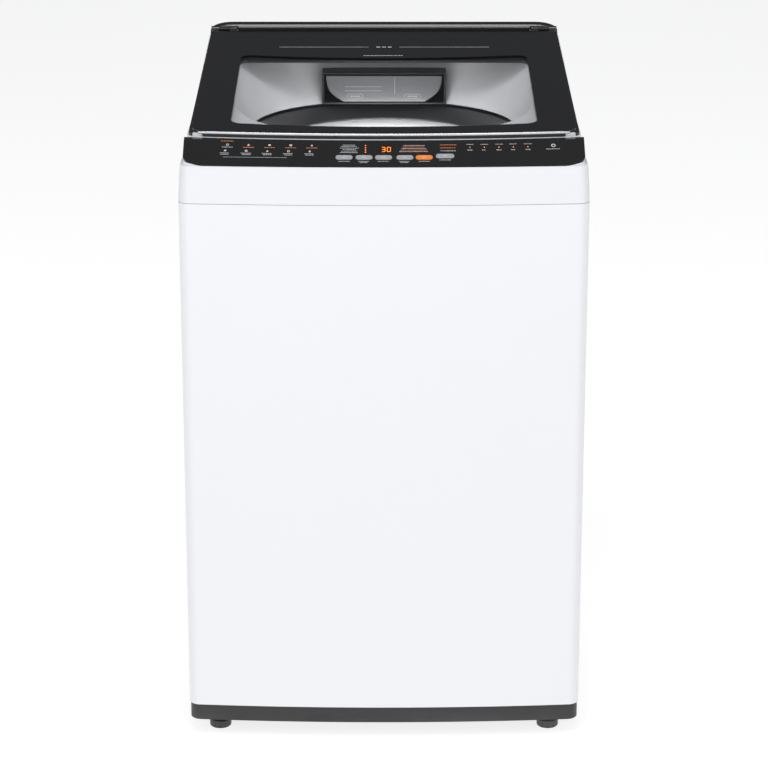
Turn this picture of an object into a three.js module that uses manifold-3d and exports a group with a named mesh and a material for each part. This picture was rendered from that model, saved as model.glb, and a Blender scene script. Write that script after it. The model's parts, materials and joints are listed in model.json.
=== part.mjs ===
// Top load washing machine: a steel cabinet on a plastic base, a sloping control panel, a glass lid, and a
// tub that hangs on four sprung rods with a perforated basket, a pulsator and a belt drive under it.
// Millimetres, +Z up, the front faces -Y. The origin is on the floor, under the middle of the machine.
import * as THREE from 'three';
import { mergeVertices } from 'three/addons/utils/BufferGeometryUtils.js';
import Module from 'manifold-3d';

const wasm = await Module();
wasm.setup();

// Driving dimensions
const WIDTH = 590;
const DEPTH = 604;
const HEIGHT = 990;
const HALF = WIDTH / 2;
const FRONT = -DEPTH / 2;
const BACK = DEPTH / 2;
const FOOT_HEIGHT = 25;
const BASE_TOP = 49.7;
const CABINET_BOTTOM = 50;
const SEAM = 828;
const FRONT_BOW = 3350;
const CORNER = 18;
const SHEET = 2;
const GAP = 0.4;

// Sloping control panel: lower and upper edges of its face, on the centre line
const PANEL_LOW = { y: -292.4, z: 881 };
const PANEL_HIGH = { y: -245.6, z: 910.6 };
const PANEL_THICK = 3.5;
const PANEL_HALF_LOW = 288;
const PANEL_HALF_HIGH = 284.4;
const PANEL_CORNER = { across: 36, up: 20 };

// Lid: a flat glass lid on a sloping deck, hinged along its rear edge
const HINGE = { y: 281, z: 981 };
const LID_FRONT = { y: -240, z: 919 };
const LID_TILT = Math.atan2(HINGE.z - LID_FRONT.z, HINGE.y - LID_FRONT.y);
const LID_LENGTH = Math.hypot(HINGE.z - LID_FRONT.z, HINGE.y - LID_FRONT.y);
const LID_HALF_FRONT = 283;
const LID_HALF_REAR = 280;
const LID_BOW = 2860;
const LID_DROP = 8.8;
const GLASS_THICK = 4;
const WINDOW = { half: 225, rear: 157, front: 493, corner: 24 };

// Loading mouth, tub, basket and drive
const MOUTH_RADIUS = 201;
const MOUTH_Z = 879;
const TUB_RADIUS = 262;
const TUB_BOTTOM = 235;
const TUB_TOP = 845;
const BASKET_RADIUS = 237;
const BASKET_BOTTOM = 258;
const BASKET_TOP = 805.5;
const ROD_PLACE = 240;
const ROD_RADIUS = 4.5;
const ROD_CUP_TOP = 136;
const LUG_BOTTOM = 222;
const LUG_TOP = 234.6;
const MOTOR_X = 155;
const DRIVE_PULLEY_RADIUS = 66;
const MOTOR_PULLEY_RADIUS = 30;
const ROUND = 28;

// Buttons on the panel: place across, place up the slope, and width
const BUTTONS = [
  { name: 'button_power', x: -57, up: 20.4, width: 24.5, orange: false },
  { name: 'button_program', x: -28.4, up: 20.4, width: 24.5, orange: false },
  { name: 'button_water_level', x: -0.6, up: 20.4, width: 24.5, orange: false },
  { name: 'button_wash_time', x: 29.8, up: 20.4, width: 24.5, orange: false },
  { name: 'button_start', x: 57.4, up: 20.4, width: 24.5, orange: true },
  { name: 'button_delay', x: 87.2, up: 23, width: 26.5, orange: false },
];
const BUTTON_HEIGHT = 8.6;

const finish = {
  whitePaint: { color: 0xe4e6ea, roughness: 0.42, metalness: 0.1 },
  whitePlastic: { color: 0xe0e2e6, roughness: 0.5, metalness: 0 },
  blackGloss: { color: 0x17181a, roughness: 0.2, metalness: 0 },
  blackPlastic: { color: 0x222325, roughness: 0.55, metalness: 0 },
  glass: { color: 0x20242a, roughness: 0.05, metalness: 0 },
  smoke: { color: 0x5c6066, roughness: 0.25, metalness: 0 },
  chrome: { color: 0xc9ccd0, roughness: 0.15, metalness: 1 },
  greyPlastic: { color: 0x9a9da1, roughness: 0.5, metalness: 0 },
  orange: { color: 0xd9662c, roughness: 0.4, metalness: 0 },
  steel: { color: 0xb4b7bb, roughness: 0.3, metalness: 1 },
  galvanised: { color: 0x9ea2a6, roughness: 0.45, metalness: 1 },
  aluminium: { color: 0xa9adb1, roughness: 0.5, metalness: 1 },
  rubber: { color: 0x1a1a1b, roughness: 0.8, metalness: 0 },
  board: { color: 0x1f5a35, roughness: 0.6, metalness: 0 },
};

const machine = new THREE.Group();

/** Adds one named mesh to a group. */
function part(name, geometry, look, group = machine) {
  const mesh = new THREE.Mesh(geometry, new THREE.MeshStandardMaterial(finish[look]));
  mesh.name = name;
  group.add(mesh);
  return mesh;
}

/** Turns a closed geometry's faces outwards. */
function outward(source) {
  const geometry = source.clone();
  geometry.deleteAttribute('normal');
  geometry.deleteAttribute('uv');
  const merged = mergeVertices(geometry, 1e-4);
  const place = merged.getAttribute('position');
  const index = merged.getIndex().array;
  const corner = [new THREE.Vector3(), new THREE.Vector3(), new THREE.Vector3()];
  let volume = 0;
  for (let i = 0; i < index.length; i += 3) {
    corner.forEach((point, k) => point.fromBufferAttribute(place, index[i + k]));
    volume += corner[0].dot(corner[1].clone().cross(corner[2]));
  }
  if (volume < 0) {
    for (let i = 0; i < index.length; i += 3) {
      [index[i], index[i + 1]] = [index[i + 1], index[i]];
    }
  }
  return merged;
}

/** A geometry as a solid that can be joined and cut. */
function solid(source) {
  const merged = outward(source);
  return new wasm.Manifold(new wasm.Mesh({
    numProp: 3,
    vertProperties: new Float32Array(merged.getAttribute('position').array),
    triVerts: new Uint32Array(merged.getIndex().array),
  }));
}

/** A joined or cut solid as a geometry. */
function shell(body) {
  const mesh = body.getMesh();
  const geometry = new THREE.BufferGeometry();
  geometry.setAttribute('position', new THREE.BufferAttribute(new Float32Array(mesh.vertProperties), 3));
  geometry.setIndex(new THREE.BufferAttribute(new Uint32Array(mesh.triVerts), 1));
  return geometry;
}

/** Drops points that repeat the one before them. */
function distinct(points) {
  return points.filter((point, i) => {
    const last = points[(i + points.length - 1) % points.length];
    return Math.hypot(point[0] - last[0], point[1] - last[1]) > 1e-3;
  });
}

/** Points on an arc, angles in degrees. */
function arc(x, y, radius, from, to, steps = 4) {
  return Array.from({ length: steps + 1 }, (_, i) => {
    const angle = THREE.MathUtils.degToRad(from + (to - from) * i / steps);
    return [x + radius * Math.cos(angle), y + radius * Math.sin(angle)];
  });
}

/** An outline in plan with a bowed front edge and rounded corners. */
function bowedOutline({ half, front, back, corner = CORNER, rear = CORNER, bow = FRONT_BOW, steps = 10 }) {
  const run = half - corner;
  const shift = x => x * x / (2 * bow);
  const edge = Array.from({ length: steps + 1 }, (_, i) => {
    const x = -run + 2 * run * i / steps;
    return [x, front + shift(x)];
  });
  const inset = front + shift(run) + corner;
  return distinct([
    ...edge,
    ...arc(run, inset, corner, -90, 0),
    ...arc(half - rear, back - rear, rear, 0, 90),
    ...arc(rear - half, back - rear, rear, 90, 180),
    ...arc(-run, inset, corner, 180, 270),
  ]);
}

/** A straight prism from a flat outline, with holes. */
function prism(outline, low, high, holes = []) {
  const shape = new THREE.Shape(outline.map(([x, y]) => new THREE.Vector2(x, y)));
  for (const hole of holes) {
    shape.holes.push(new THREE.Path(hole.map(([x, y]) => new THREE.Vector2(x, y))));
  }
  const geometry = new THREE.ExtrudeGeometry(shape, { depth: high - low, bevelEnabled: false });
  return outward(geometry.translate(0, 0, low));
}

/** A closed skin over flat rings with the same number of points, stacked along Z or, if across, along X. */
function loft(rings, across = false) {
  const count = rings[0].length;
  const index = [];
  for (let level = 0; level < rings.length - 1; level++) {
    for (let i = 0; i < count; i++) {
      const low = level * count + i;
      const next = level * count + (i + 1) % count;
      index.push(low, next, low + count, next, next + count, low + count);
    }
  }
  for (const level of [0, rings.length - 1]) {
    const flat = rings[level].map(([x, y, z]) => (across ? new THREE.Vector2(y, z) : new THREE.Vector2(x, y)));
    const turnOver = THREE.ShapeUtils.isClockWise(flat) !== (level === 0);
    for (const face of THREE.ShapeUtils.triangulateShape(flat, [])) {
      const [a, b, c] = face.map(i => i + level * count);
      index.push(...(turnOver ? [a, c, b] : [a, b, c]));
    }
  }
  const geometry = new THREE.BufferGeometry();
  geometry.setAttribute('position', new THREE.Float32BufferAttribute(rings.flat(2), 3));
  geometry.setIndex(index);
  return outward(geometry);
}

/** A ring in plan whose corners square off as the power rises from 2, which is an ellipse. */
function mouthRing(halfX, halfY, middle, power, z) {
  return Array.from({ length: ROUND }, (_, i) => {
    const angle = 2 * Math.PI * i / ROUND;
    const cos = Math.cos(angle);
    const sin = Math.sin(angle);
    const size = (Math.abs(cos) ** power + Math.abs(sin) ** power) ** (-1 / power);
    return [halfX * size * cos, middle + halfY * size * sin, z];
  });
}

/** A body turned about a vertical axis from radius and height pairs. */
function turned(profile, { x = 0, y = 0, sides = ROUND } = {}) {
  const points = profile.map(([radius, z]) => new THREE.Vector2(radius, z));
  if (profile[0][0] > 0) points.push(points[0].clone());
  const geometry = new THREE.LatheGeometry(points, sides);
  return outward(geometry.rotateX(Math.PI / 2).translate(x, y, 0));
}

/** A block from its lowest and highest corners. */
function block([x0, y0, z0], [x1, y1, z1]) {
  const geometry = new THREE.BoxGeometry(x1 - x0, y1 - y0, z1 - z0);
  return geometry.translate((x0 + x1) / 2, (y0 + y1) / 2, (z0 + z1) / 2);
}

/** A round bar along X or Y, from one end to the other. */
function bar(axis, from, to, radius, [a, b], sides = 16) {
  const geometry = new THREE.CylinderGeometry(radius, radius, to - from, sides);
  if (axis === 'x') return geometry.rotateZ(Math.PI / 2).translate((from + to) / 2, a, b);
  return geometry.translate(a, (from + to) / 2, b);
}

/** A round outline. */
function circle(x, y, radius, sides = 16) {
  return arc(x, y, radius, 0, 360 - 360 / sides, sides - 1);
}

/** How far the front is set back by its bow at a place across. */
const bowShift = x => x * x / (2 * FRONT_BOW);

/** A sheet steel wrap for the front and both sides, with flanges turned in at the rear. */
function addCabinet() {
  const back = BACK - 5.4;
  const flange = 14;
  const outer = bowedOutline({ half: HALF, front: FRONT, back, rear: 1 });
  const inner = bowedOutline({
    half: HALF - SHEET, front: FRONT + SHEET, back: back - SHEET, corner: CORNER - SHEET, rear: 1,
  });
  const wrap = solid(prism(outer, CABINET_BOTTOM, SEAM - GAP))
    .subtract(solid(prism(inner, 0, HEIGHT)))
    .subtract(solid(block([flange - HALF, 250, 0], [HALF - flange, 320, HEIGHT])));
  part('cabinet', shell(wrap), 'whitePaint');
}

/** The flat rear panel, with two pressed ribs and a hole for the drain outlet. */
function addRearPanel() {
  const half = HALF - SHEET - 1;
  const front = BACK - 10;
  const panel = solid(block([-half, front, CABINET_BOTTOM + 2], [half, front + SHEET, SEAM - 2]));
  const rib = z => solid(block([-220, front + 1, z], [220, front + 4.5, z + 60]));
  const hole = solid(bar('y', 280, 310, 15, [-180, 95]));
  const rear = panel.add(rib(300)).add(rib(560)).subtract(hole);
  part('rear_panel', shell(rear), 'galvanised');
}

/** The plastic base: a deck with a skirt and a hollow boss over each foot. */
function addBase() {
  const outline = { half: HALF - 1.5, front: FRONT + 1.5, back: BACK - 6 };
  const outer = bowedOutline(outline);
  const skirtInner = bowedOutline({ half: HALF - 6, front: FRONT + 6, back: BACK - 10.5, corner: 14, rear: 14 });
  const opening = mouthRing(215, 215, 0, 3, 0).map(([x, y]) => [x, y]);
  let base = solid(prism(outer, BASE_TOP - 5, BASE_TOP, [opening]));
  base = base.add(solid(prism(outer, FOOT_HEIGHT, BASE_TOP - 4, [skirtInner])));
  for (const [x, y] of footPlaces()) {
    base = base.add(solid(prism(circle(x, y, 20), FOOT_HEIGHT + 1, BASE_TOP - 4)));
    base = base.subtract(solid(prism(circle(x, y, 6.1), 0, BASE_TOP + 9)));
  }
  part('base_frame', shell(base), 'blackPlastic');
}

/** The four foot centres: two at the front, then two at the rear. */
function footPlaces() {
  return [[-250, FRONT + 48], [250, FRONT + 48], [-250, BACK - 50], [250, BACK - 50]];
}

/** Four screw-in feet with flat round pads. */
function addFeet() {
  const names = ['front_foot_left', 'front_foot_right', 'rear_foot_left', 'rear_foot_right'];
  const profile = [[0, 0], [14.5, 0], [16.5, 2], [16.5, 13], [12, 25.6], [5.5, 25.6], [5.5, 64], [0, 64]];
  footPlaces().forEach(([x, y], i) => {
    part(names[i], turned(profile, { x, y, sides: 20 }), 'rubber');
  });
}

/** Plan rings of the top cover's outer face, from the seam up past the deck, set in by a margin. */
function coverRings(inset, slopeInset, low) {
  const levels = [
    [SEAM, HALF, FRONT],
    [875, 292.9, FRONT + 8.6],
    [PANEL_LOW.z, 291.6, PANEL_LOW.y - 1.2],
    [PANEL_LOW.z + 0.5, PANEL_HALF_LOW, PANEL_LOW.y + 0.2 + slopeInset],
    [PANEL_HIGH.z + 4, PANEL_HALF_HIGH, PANEL_HIGH.y + 6.5 + slopeInset],
    [PANEL_HIGH.z + 10, 282.6, PANEL_HIGH.y + 7 + slopeInset],
    [HEIGHT + 8, 281, PANEL_HIGH.y + 8 + slopeInset],
  ];
  return levels.map(([z, half, front], i) => {
    const outline = bowedOutline({
      half: half - inset, front: front + inset, back: BACK - inset, corner: CORNER - inset, rear: CORNER - inset,
    });
    return outline.map(([x, y]) => [x, y, i === 0 ? low : z]);
  });
}

/** Everything above the sloping deck plane, shifted by a height normal to it. */
function aboveDeck(shift = 0) {
  const cutter = new THREE.BoxGeometry(800, 900, 300).translate(0, -300, 150 + shift - LID_DROP);
  return solid(cutter.rotateX(LID_TILT).translate(0, HINGE.y, HINGE.z));
}

/** The control panel's skin: a strip bent along the bow, with rounded lower corners. */
function panelBody(grow, thick) {
  const half = PANEL_HALF_LOW + grow;
  const run = PANEL_HALF_LOW - PANEL_CORNER.across;
  const slope = Math.atan2(PANEL_HIGH.z - PANEL_LOW.z, PANEL_HIGH.y - PANEL_LOW.y);
  const length = Math.hypot(PANEL_HIGH.z - PANEL_LOW.z, PANEL_HIGH.y - PANEL_LOW.y);
  const ends = [0.25, 0.45, 0.65, 0.82, 0.93, 0.985].map(share => run + share * PANEL_CORNER.across);
  const middle = Array.from({ length: 9 }, (_, i) => -run + 2 * run * i / 8);
  const stations = [-half, ...ends.toReversed().map(x => -x), ...middle, ...ends, half];
  const rings = stations.map(x => {
    const over = Math.min(Math.max(Math.abs(x) - run, 0) / PANEL_CORNER.across, 1);
    const rise = PANEL_CORNER.up * (1 - Math.sqrt(1 - over * over));
    const at = (along, depth) => [
      x,
      PANEL_LOW.y + along * Math.cos(slope) + depth * Math.sin(slope) + bowShift(x),
      PANEL_LOW.z + along * Math.sin(slope) - depth * Math.cos(slope),
    ];
    return [at(rise - grow, thick), at(length + 14, thick), at(length + 14, -grow), at(rise - grow, -grow)];
  });
  return solid(loft(rings, true));
}

/** A prism standing on the panel's slope, its middle given across and up, from a flat outline. */
function onPanel(outline, x, up, low, high) {
  const slope = Math.atan2(PANEL_HIGH.z - PANEL_LOW.z, PANEL_HIGH.y - PANEL_LOW.y);
  const geometry = prism(outline, low, high).rotateX(slope);
  return geometry.translate(
    x,
    PANEL_LOW.y + up * Math.cos(slope) + bowShift(x),
    PANEL_LOW.z + up * Math.sin(slope),
  );
}

/** A rounded bar outline, wider than it is high. */
function pill(width, height, steps = 4) {
  const reach = (width - height) / 2;
  return [...arc(reach, 0, height / 2, -90, 90, steps), ...arc(-reach, 0, height / 2, 90, 270, steps)];
}

/** A rectangle outline about its middle. */
function rectangle(width, height) {
  const [x, y] = [width / 2, height / 2];
  return [[-x, -y], [x, -y], [x, y], [-x, y]];
}

/** The white top cover: collar, deck and the funnel down to the tub. */
function addTopCover() {
  const wall = 4;
  const funnel = grow => solid(loft([
    mouthRing(MOUTH_RADIUS + grow, MOUTH_RADIUS + grow, 0, 2, MOUTH_Z - (grow > 0 ? 0 : 3)),
    mouthRing(212 + grow, 206 + grow, -2, 2.6, 905),
    mouthRing(230 + grow, 212 + grow, -4, 4.5, 948),
    mouthRing(236 + grow, 214 + grow, -4, 6, HEIGHT + 20),
  ]));
  const outer = solid(loft(coverRings(0, 0, SEAM))).subtract(aboveDeck());
  const inner = solid(loft(coverRings(wall, 7, SEAM - 5))).subtract(aboveDeck(-wall));
  let cover = outer.subtract(inner.subtract(funnel(wall)));
  cover = cover.subtract(funnel(0));
  cover = cover.subtract(panelBody(GAP, PANEL_THICK + GAP));
  cover = cover.subtract(solid(onPanel(rectangle(190, 34), 14, 26, -20, 5)));
  cover = cover.subtract(solid(block([-98.6, 140, MOUTH_Z - 9], [98.6, 266, 931.6])));
  cover = cover.subtract(solid(bar('y', 290, 310, 14, [-190, 860])));
  cover = cover.subtract(solid(bar('y', 290, 310, 9.6, [200, 850])));
  cover = cover.subtract(solid(block([-300, HINGE.y - 5, 955], [300, 310, HEIGHT + 20])));
  part('top_cover', shell(cover), 'whitePlastic');
}

/** The black control panel with holes for the buttons and the display. */
function addControlPanel() {
  let panel = panelBody(0, PANEL_THICK).subtract(aboveDeck(-GAP));
  for (const { x, up, width } of BUTTONS) {
    panel = panel.subtract(solid(onPanel(pill(width + 0.8, BUTTON_HEIGHT + 0.8), x, up, -9, 9)));
  }
  panel = panel.subtract(solid(onPanel(rectangle(22.6, 15.6), 3, 37, -9, 9)));
  part('control_panel', shell(panel), 'blackGloss');
  part('display_window', onPanel(rectangle(22, 15), 3, 37, -PANEL_THICK, 0), 'glass');
  part('control_board', onPanel(rectangle(184, 30), 14, 26, -15.2, -13.6), 'board');
}

/** The six push buttons. */
function addButtons() {
  for (const { name, x, up, width, orange } of BUTTONS) {
    part(name, onPanel(pill(width, BUTTON_HEIGHT), x, up, -10, 1.2), orange ? 'orange' : 'greyPlastic');
  }
}

/** The black strip behind the lid, with a boss for each hinge pin. */
function addRearCover() {
  const low = 955.4;
  const half = 281;
  const fall = [[0, 0], [6, 0.7], [18, 2], [28, 5], [34, 9], [36, 13]];
  const stations = [
    ...fall.toReversed().map(([out, drop]) => [-half + 36 - out, drop]),
    ...fall.map(([out, drop]) => [half - 36 + out, drop]),
  ];
  const rings = stations.map(([x, drop]) => [
    [x, HINGE.y - 4.6, low], [x, BACK, low], [x, BACK, HEIGHT - 4 - drop], [x, BACK - 4, HEIGHT - drop],
    [x, BACK - 8, HEIGHT - drop], [x, HINGE.y + 2.5, HEIGHT - 7 - drop],
    [x, HINGE.y + 2.5, low + 3], [x, HINGE.y - 4.6, low + 3],
  ]);
  let cover = solid(loft(rings, true));
  for (const side of [-1, 1]) {
    const [from, to] = side < 0 ? [-279, -267] : [267, 279];
    const middle = [HINGE.y, HINGE.z];
    cover = cover.add(solid(block([from, HINGE.y - 4.6, low], [to, HINGE.y + 4, HINGE.z])));
    cover = cover.add(solid(bar('x', from, to, 4.6, middle)));
    cover = cover.subtract(solid(bar('x', from - 1, to + 1, 2.9, middle)));
    const notch = side < 0 ? [-250, -236] : [236, 250];
    cover = cover.subtract(solid(bar('x', ...notch, 5.4, middle)));
  }
  part('rear_cover', shell(cover), 'blackGloss');
  part('hinge_pin_left', bar('x', -279, -237, 2.5, [HINGE.y, HINGE.z]), 'steel');
  part('hinge_pin_right', bar('x', 237, 279, 2.5, [HINGE.y, HINGE.z]), 'steel');
}

/** The lid's outline in its own plane, narrower at the rear, with its front edge set back. */
function lidOutline(inset, rearEdge) {
  const outline = bowedOutline({
    half: LID_HALF_FRONT - inset, front: inset - LID_LENGTH, back: -rearEdge, corner: 12, rear: 8, bow: LID_BOW,
  });
  const narrow = (LID_HALF_FRONT - LID_HALF_REAR) / LID_HALF_FRONT / LID_LENGTH;
  return outline.map(([x, y]) => [x * (1 - narrow * (y + LID_LENGTH)), y]);
}

/** The window's outline in the lid's plane. */
function windowOutline(grow) {
  return bowedOutline({
    half: WINDOW.half + grow, front: -WINDOW.front - grow, back: -WINDOW.rear + grow,
    corner: WINDOW.corner, rear: 8, bow: 1400,
  });
}

/** The lid: a glass plate on a frame, a bright strip and two bumpers along the front edge. */
function addLid() {
  const lid = new THREE.Group();
  lid.position.set(0, HINGE.y, HINGE.z);
  lid.rotation.x = LID_TILT;
  machine.add(lid);
  const top = -0.3;
  const seat = top - GLASS_THICK - 0.3;
  const under = GAP - LID_DROP;
  const setBack = x => x * x / (2 * LID_BOW);
  const bumperAt = 269;
  let frame = solid(prism(lidOutline(0.6, 3), under, seat, [windowOutline(0)]));
  for (const side of [-1, 1]) {
    const [inner, outer] = side < 0 ? [-248, -238] : [238, 248];
    const clip = side < 0 ? [-300, -251] : [251, 300];
    const front = setBack(bumperAt) - LID_LENGTH;
    const [from, to] = [side * bumperAt - 8, side * bumperAt + 8];
    frame = frame.subtract(solid(block([clip[0], -11, -20], [clip[1], 5, 5])));
    frame = frame.add(solid(block([inner, -9, under], [outer, 0, 0])));
    frame = frame.add(solid(bar('x', inner, outer, 4.2, [0, 0])));
    frame = frame.subtract(solid(bar('x', inner - 1, outer + 1, 3, [0, 0])));
    frame = frame.subtract(solid(block([from, front - 9, -20], [to, front + 10, 0])));
    const bumper = block([from + GAP, front + 1.6, under], [to - GAP, front + 9.5, seat]);
    part(side < 0 ? 'lid_bumper_left' : 'lid_bumper_right', bumper, 'greyPlastic', lid);
  }
  part('lid_frame', shell(frame), 'blackPlastic', lid);
  part('lid_glass', prism(lidOutline(5, 10), seat + 0.3, top), 'glass', lid);
  const edge = Array.from({ length: 13 }, (_, i) => {
    const x = -268 + 536 * i / 12;
    return [x, setBack(x) - LID_LENGTH];
  });
  const strip = [...edge, ...edge.toReversed().map(([x, y]) => [x, y + 4.4])];
  part('lid_trim', prism(strip, seat + 0.3, top), 'chrome', lid);
}

/** The detergent drawer in its housing at the rear of the loading mouth. */
function addDispenser() {
  const [front, rear] = [168, 262];
  const low = MOUTH_Z + 0.4;
  const housing = solid(block([-98, front, low], [98, rear, 931]))
    .subtract(solid(block([-95, front - 9, low + 3], [95, rear - 3, 928])));
  part('dispenser_housing', shell(housing), 'blackPlastic');
  const across = (outline, from, to) => prism(outline, -to, -from).rotateX(Math.PI / 2);
  const bowl = [[-92, 926], [-90, 908], [-80, 893], [-66, 884], [66, 884], [80, 893], [90, 908], [92, 926]];
  const leftBay = [[-88, 940], [-86, 909], [-77, 896], [-65, 888], [14, 888], [14, 940]];
  const rightBay = [[20, 940], [20, 888], [65, 888], [77, 896], [86, 909], [88, 940]];
  const drawer = solid(across(bowl, front - 2, rear - 5))
    .subtract(solid(across(leftBay, front + 2, rear - 9)))
    .subtract(solid(across(rightBay, front + 2, rear - 9)));
  part('detergent_drawer', shell(drawer), 'smoke');
}

/** Water inlet, cord gland, drain outlet, pressure sensor and lid switch. */
function addServices() {
  const valve = solid(block([-214, 236, 842], [-166, 284, 900]))
    .add(solid(bar('y', 280, BACK - 0.4, 12.5, [-190, 860])))
    .add(solid(bar('x', -170, -98.5, 8, [250, 890])))
    .subtract(solid(bar('y', 288, BACK + 9, 9, [-190, 860])));
  part('inlet_valve', shell(valve), 'blackPlastic');
  const gland = solid(bar('y', 286, BACK - 0.3, 9, [200, 850]))
    .add(solid(bar('y', 284, 297.6, 14, [200, 850])))
    .subtract(solid(bar('y', 292, BACK + 9, 4, [200, 850])));
  part('cord_gland', shell(gland), 'rubber');
  const outlet = solid(bar('y', 262, BACK - 0.3, 14, [-180, 95]))
    .add(solid(bar('y', 284, BACK - 10.4, 20, [-180, 95])))
    .subtract(solid(bar('y', 250, BACK + 9, 10.5, [-180, 95])));
  part('drain_outlet', shell(outlet), 'greyPlastic');
  const sensor = [[0, 838], [22, 838], [22, 850], [14, 856], [5, 856], [5, 866], [0, 866]];
  part('pressure_sensor', turned(sensor, { x: 170, y: 262, sides: 16 }), 'greyPlastic');
  part('lid_switch', block([150, 250, 922], [190, 286, 950]), 'blackPlastic');
}

/** Four rods that hang from corner brackets, each with a spring on its cup under the tub's bracket. */
function addSuspension() {
  const rod = [
    [0, 128], [20, 128], [20, ROD_CUP_TOP], [ROD_RADIUS, ROD_CUP_TOP], [ROD_RADIUS, 812.4],
    [12, 812.4], [12, 820], [6, 825], [0, 825],
  ];
  const spring = [[10, ROD_CUP_TOP + GAP], [17, ROD_CUP_TOP + GAP], [17, 221.6], [10, 221.6]];
  const places = [['front_left', -1, -1], ['front_right', 1, -1], ['rear_left', -1, 1], ['rear_right', 1, 1]];
  for (const [place, side, end] of places) {
    const [x, y] = [side * ROD_PLACE, end * ROD_PLACE];
    const outline = [[292.3, 160], [292.3, 262], [275, 284.5], [160, 284.5]];
    const corner = outline.map(([a, b]) => [side * a, end * b]);
    part(`corner_bracket_${place}`, prism(corner, 796, 812, [circle(x, y, 6)]), 'galvanised');
    part(`suspension_rod_${place}`, turned(rod, { x, y, sides: 12 }), 'galvanised');
    part(`suspension_spring_${place}`, turned(spring, { x, y, sides: 12 }), 'steel');
  }
}

/** The outer tub with its ring, bracket, seal and drain valve. */
function addTub() {
  const wall = 3;
  part('tub', turned([
    [30, TUB_BOTTOM], [248, TUB_BOTTOM], [TUB_RADIUS, TUB_BOTTOM + 15], [TUB_RADIUS, TUB_TOP],
    [TUB_RADIUS - wall, TUB_TOP], [TUB_RADIUS - wall, TUB_BOTTOM + 16], [247, TUB_BOTTOM + 4], [30, TUB_BOTTOM + 4],
  ]), 'whitePlastic');
  part('tub_ring', turned([
    [TUB_RADIUS, TUB_TOP + GAP], [TUB_RADIUS, 860], [232, 870], [200, 874.5], [164, 859],
    [164, 856], [199, 871], [230, 866.5], [258, 857], [258, TUB_TOP + GAP],
  ], { sides: 32 }), 'blackPlastic');
  const arm = angle => solid(prism(rectangle(724, 56), LUG_BOTTOM, LUG_TOP).rotateZ(angle));
  let bracket = arm(Math.PI / 4).add(arm(-Math.PI / 4));
  bracket = bracket.add(solid(prism(circle(0, 0, 120, 24), LUG_BOTTOM, LUG_TOP)));
  bracket = bracket.add(solid(block([0, -46, LUG_BOTTOM], [216, 46, LUG_TOP])));
  bracket = bracket.subtract(solid(prism(circle(0, 0, 62, 24), 0, 300)));
  for (const x of [-ROD_PLACE, ROD_PLACE]) {
    for (const y of [-ROD_PLACE, ROD_PLACE]) {
      bracket = bracket.subtract(solid(prism(circle(x, y, 8), 0, 300)));
    }
  }
  part('tub_bracket', shell(bracket), 'galvanised');
  const seal = [[22.6, TUB_BOTTOM], [29.6, TUB_BOTTOM], [29.6, 243], [22.6, 243]];
  part('shaft_seal', turned(seal, { sides: 20 }), 'rubber');
  const valve = solid(turned([[0, 190], [24, 190], [24, 234.6], [0, 234.6]], { x: -155, y: -40, sides: 16 }))
    .add(solid(bar('x', -225, -160, 13, [-40, 206])));
  part('drain_valve', shell(valve), 'greyPlastic');
}

/** The outline of a belt round two pulleys on the X axis. */
function beltOutline(large, small, distance) {
  const turn = THREE.MathUtils.radToDeg(Math.acos((large - small) / distance));
  return [...arc(distance, 0, small, -turn, turn, 8), ...arc(0, 0, large, turn, 360 - turn, 20)];
}

/** The gearbox, motor, pulleys and belt under the tub. */
function addDrive() {
  part('gearbox', turned([
    [23, 122], [60, 122], [64, 140], [88, 150], [88, 205], [60, 212], [60, LUG_TOP], [23, LUG_TOP],
  ]), 'aluminium');
  const frame = solid(turned([
    [7, 114], [45, 114], [60, 124], [60, 196], [45, 206], [7, 206],
  ], { x: MOTOR_X, sides: 24 })).add(solid(block([100, -20, 205], [210, 20, LUG_BOTTOM - GAP])));
  const clear = solid(prism(circle(MOTOR_X, 0, 7, 24), 100, 190));
  part('motor', shell(frame.subtract(clear)), 'aluminium');
  part('drive_pulley', turned([
    [0, 92], [DRIVE_PULLEY_RADIUS, 92], [DRIVE_PULLEY_RADIUS, 95], [61, 98], [61, 102],
    [DRIVE_PULLEY_RADIUS, 105], [DRIVE_PULLEY_RADIUS, 108], [11, 108], [11, 150], [0, 150],
  ]), 'aluminium');
  part('motor_pulley', turned([
    [0, 90], [MOTOR_PULLEY_RADIUS, 90], [MOTOR_PULLEY_RADIUS, 95], [25, 98], [25, 102],
    [MOTOR_PULLEY_RADIUS, 105], [MOTOR_PULLEY_RADIUS, 110], [6, 110], [6, 140], [0, 140],
  ], { x: MOTOR_X, sides: 24 }), 'aluminium');
  const belt = prism(beltOutline(66, 30, MOTOR_X), 98.4, 101.6, [beltOutline(61.8, 25.8, MOTOR_X)]);
  part('drive_belt', belt, 'rubber');
}

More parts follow.
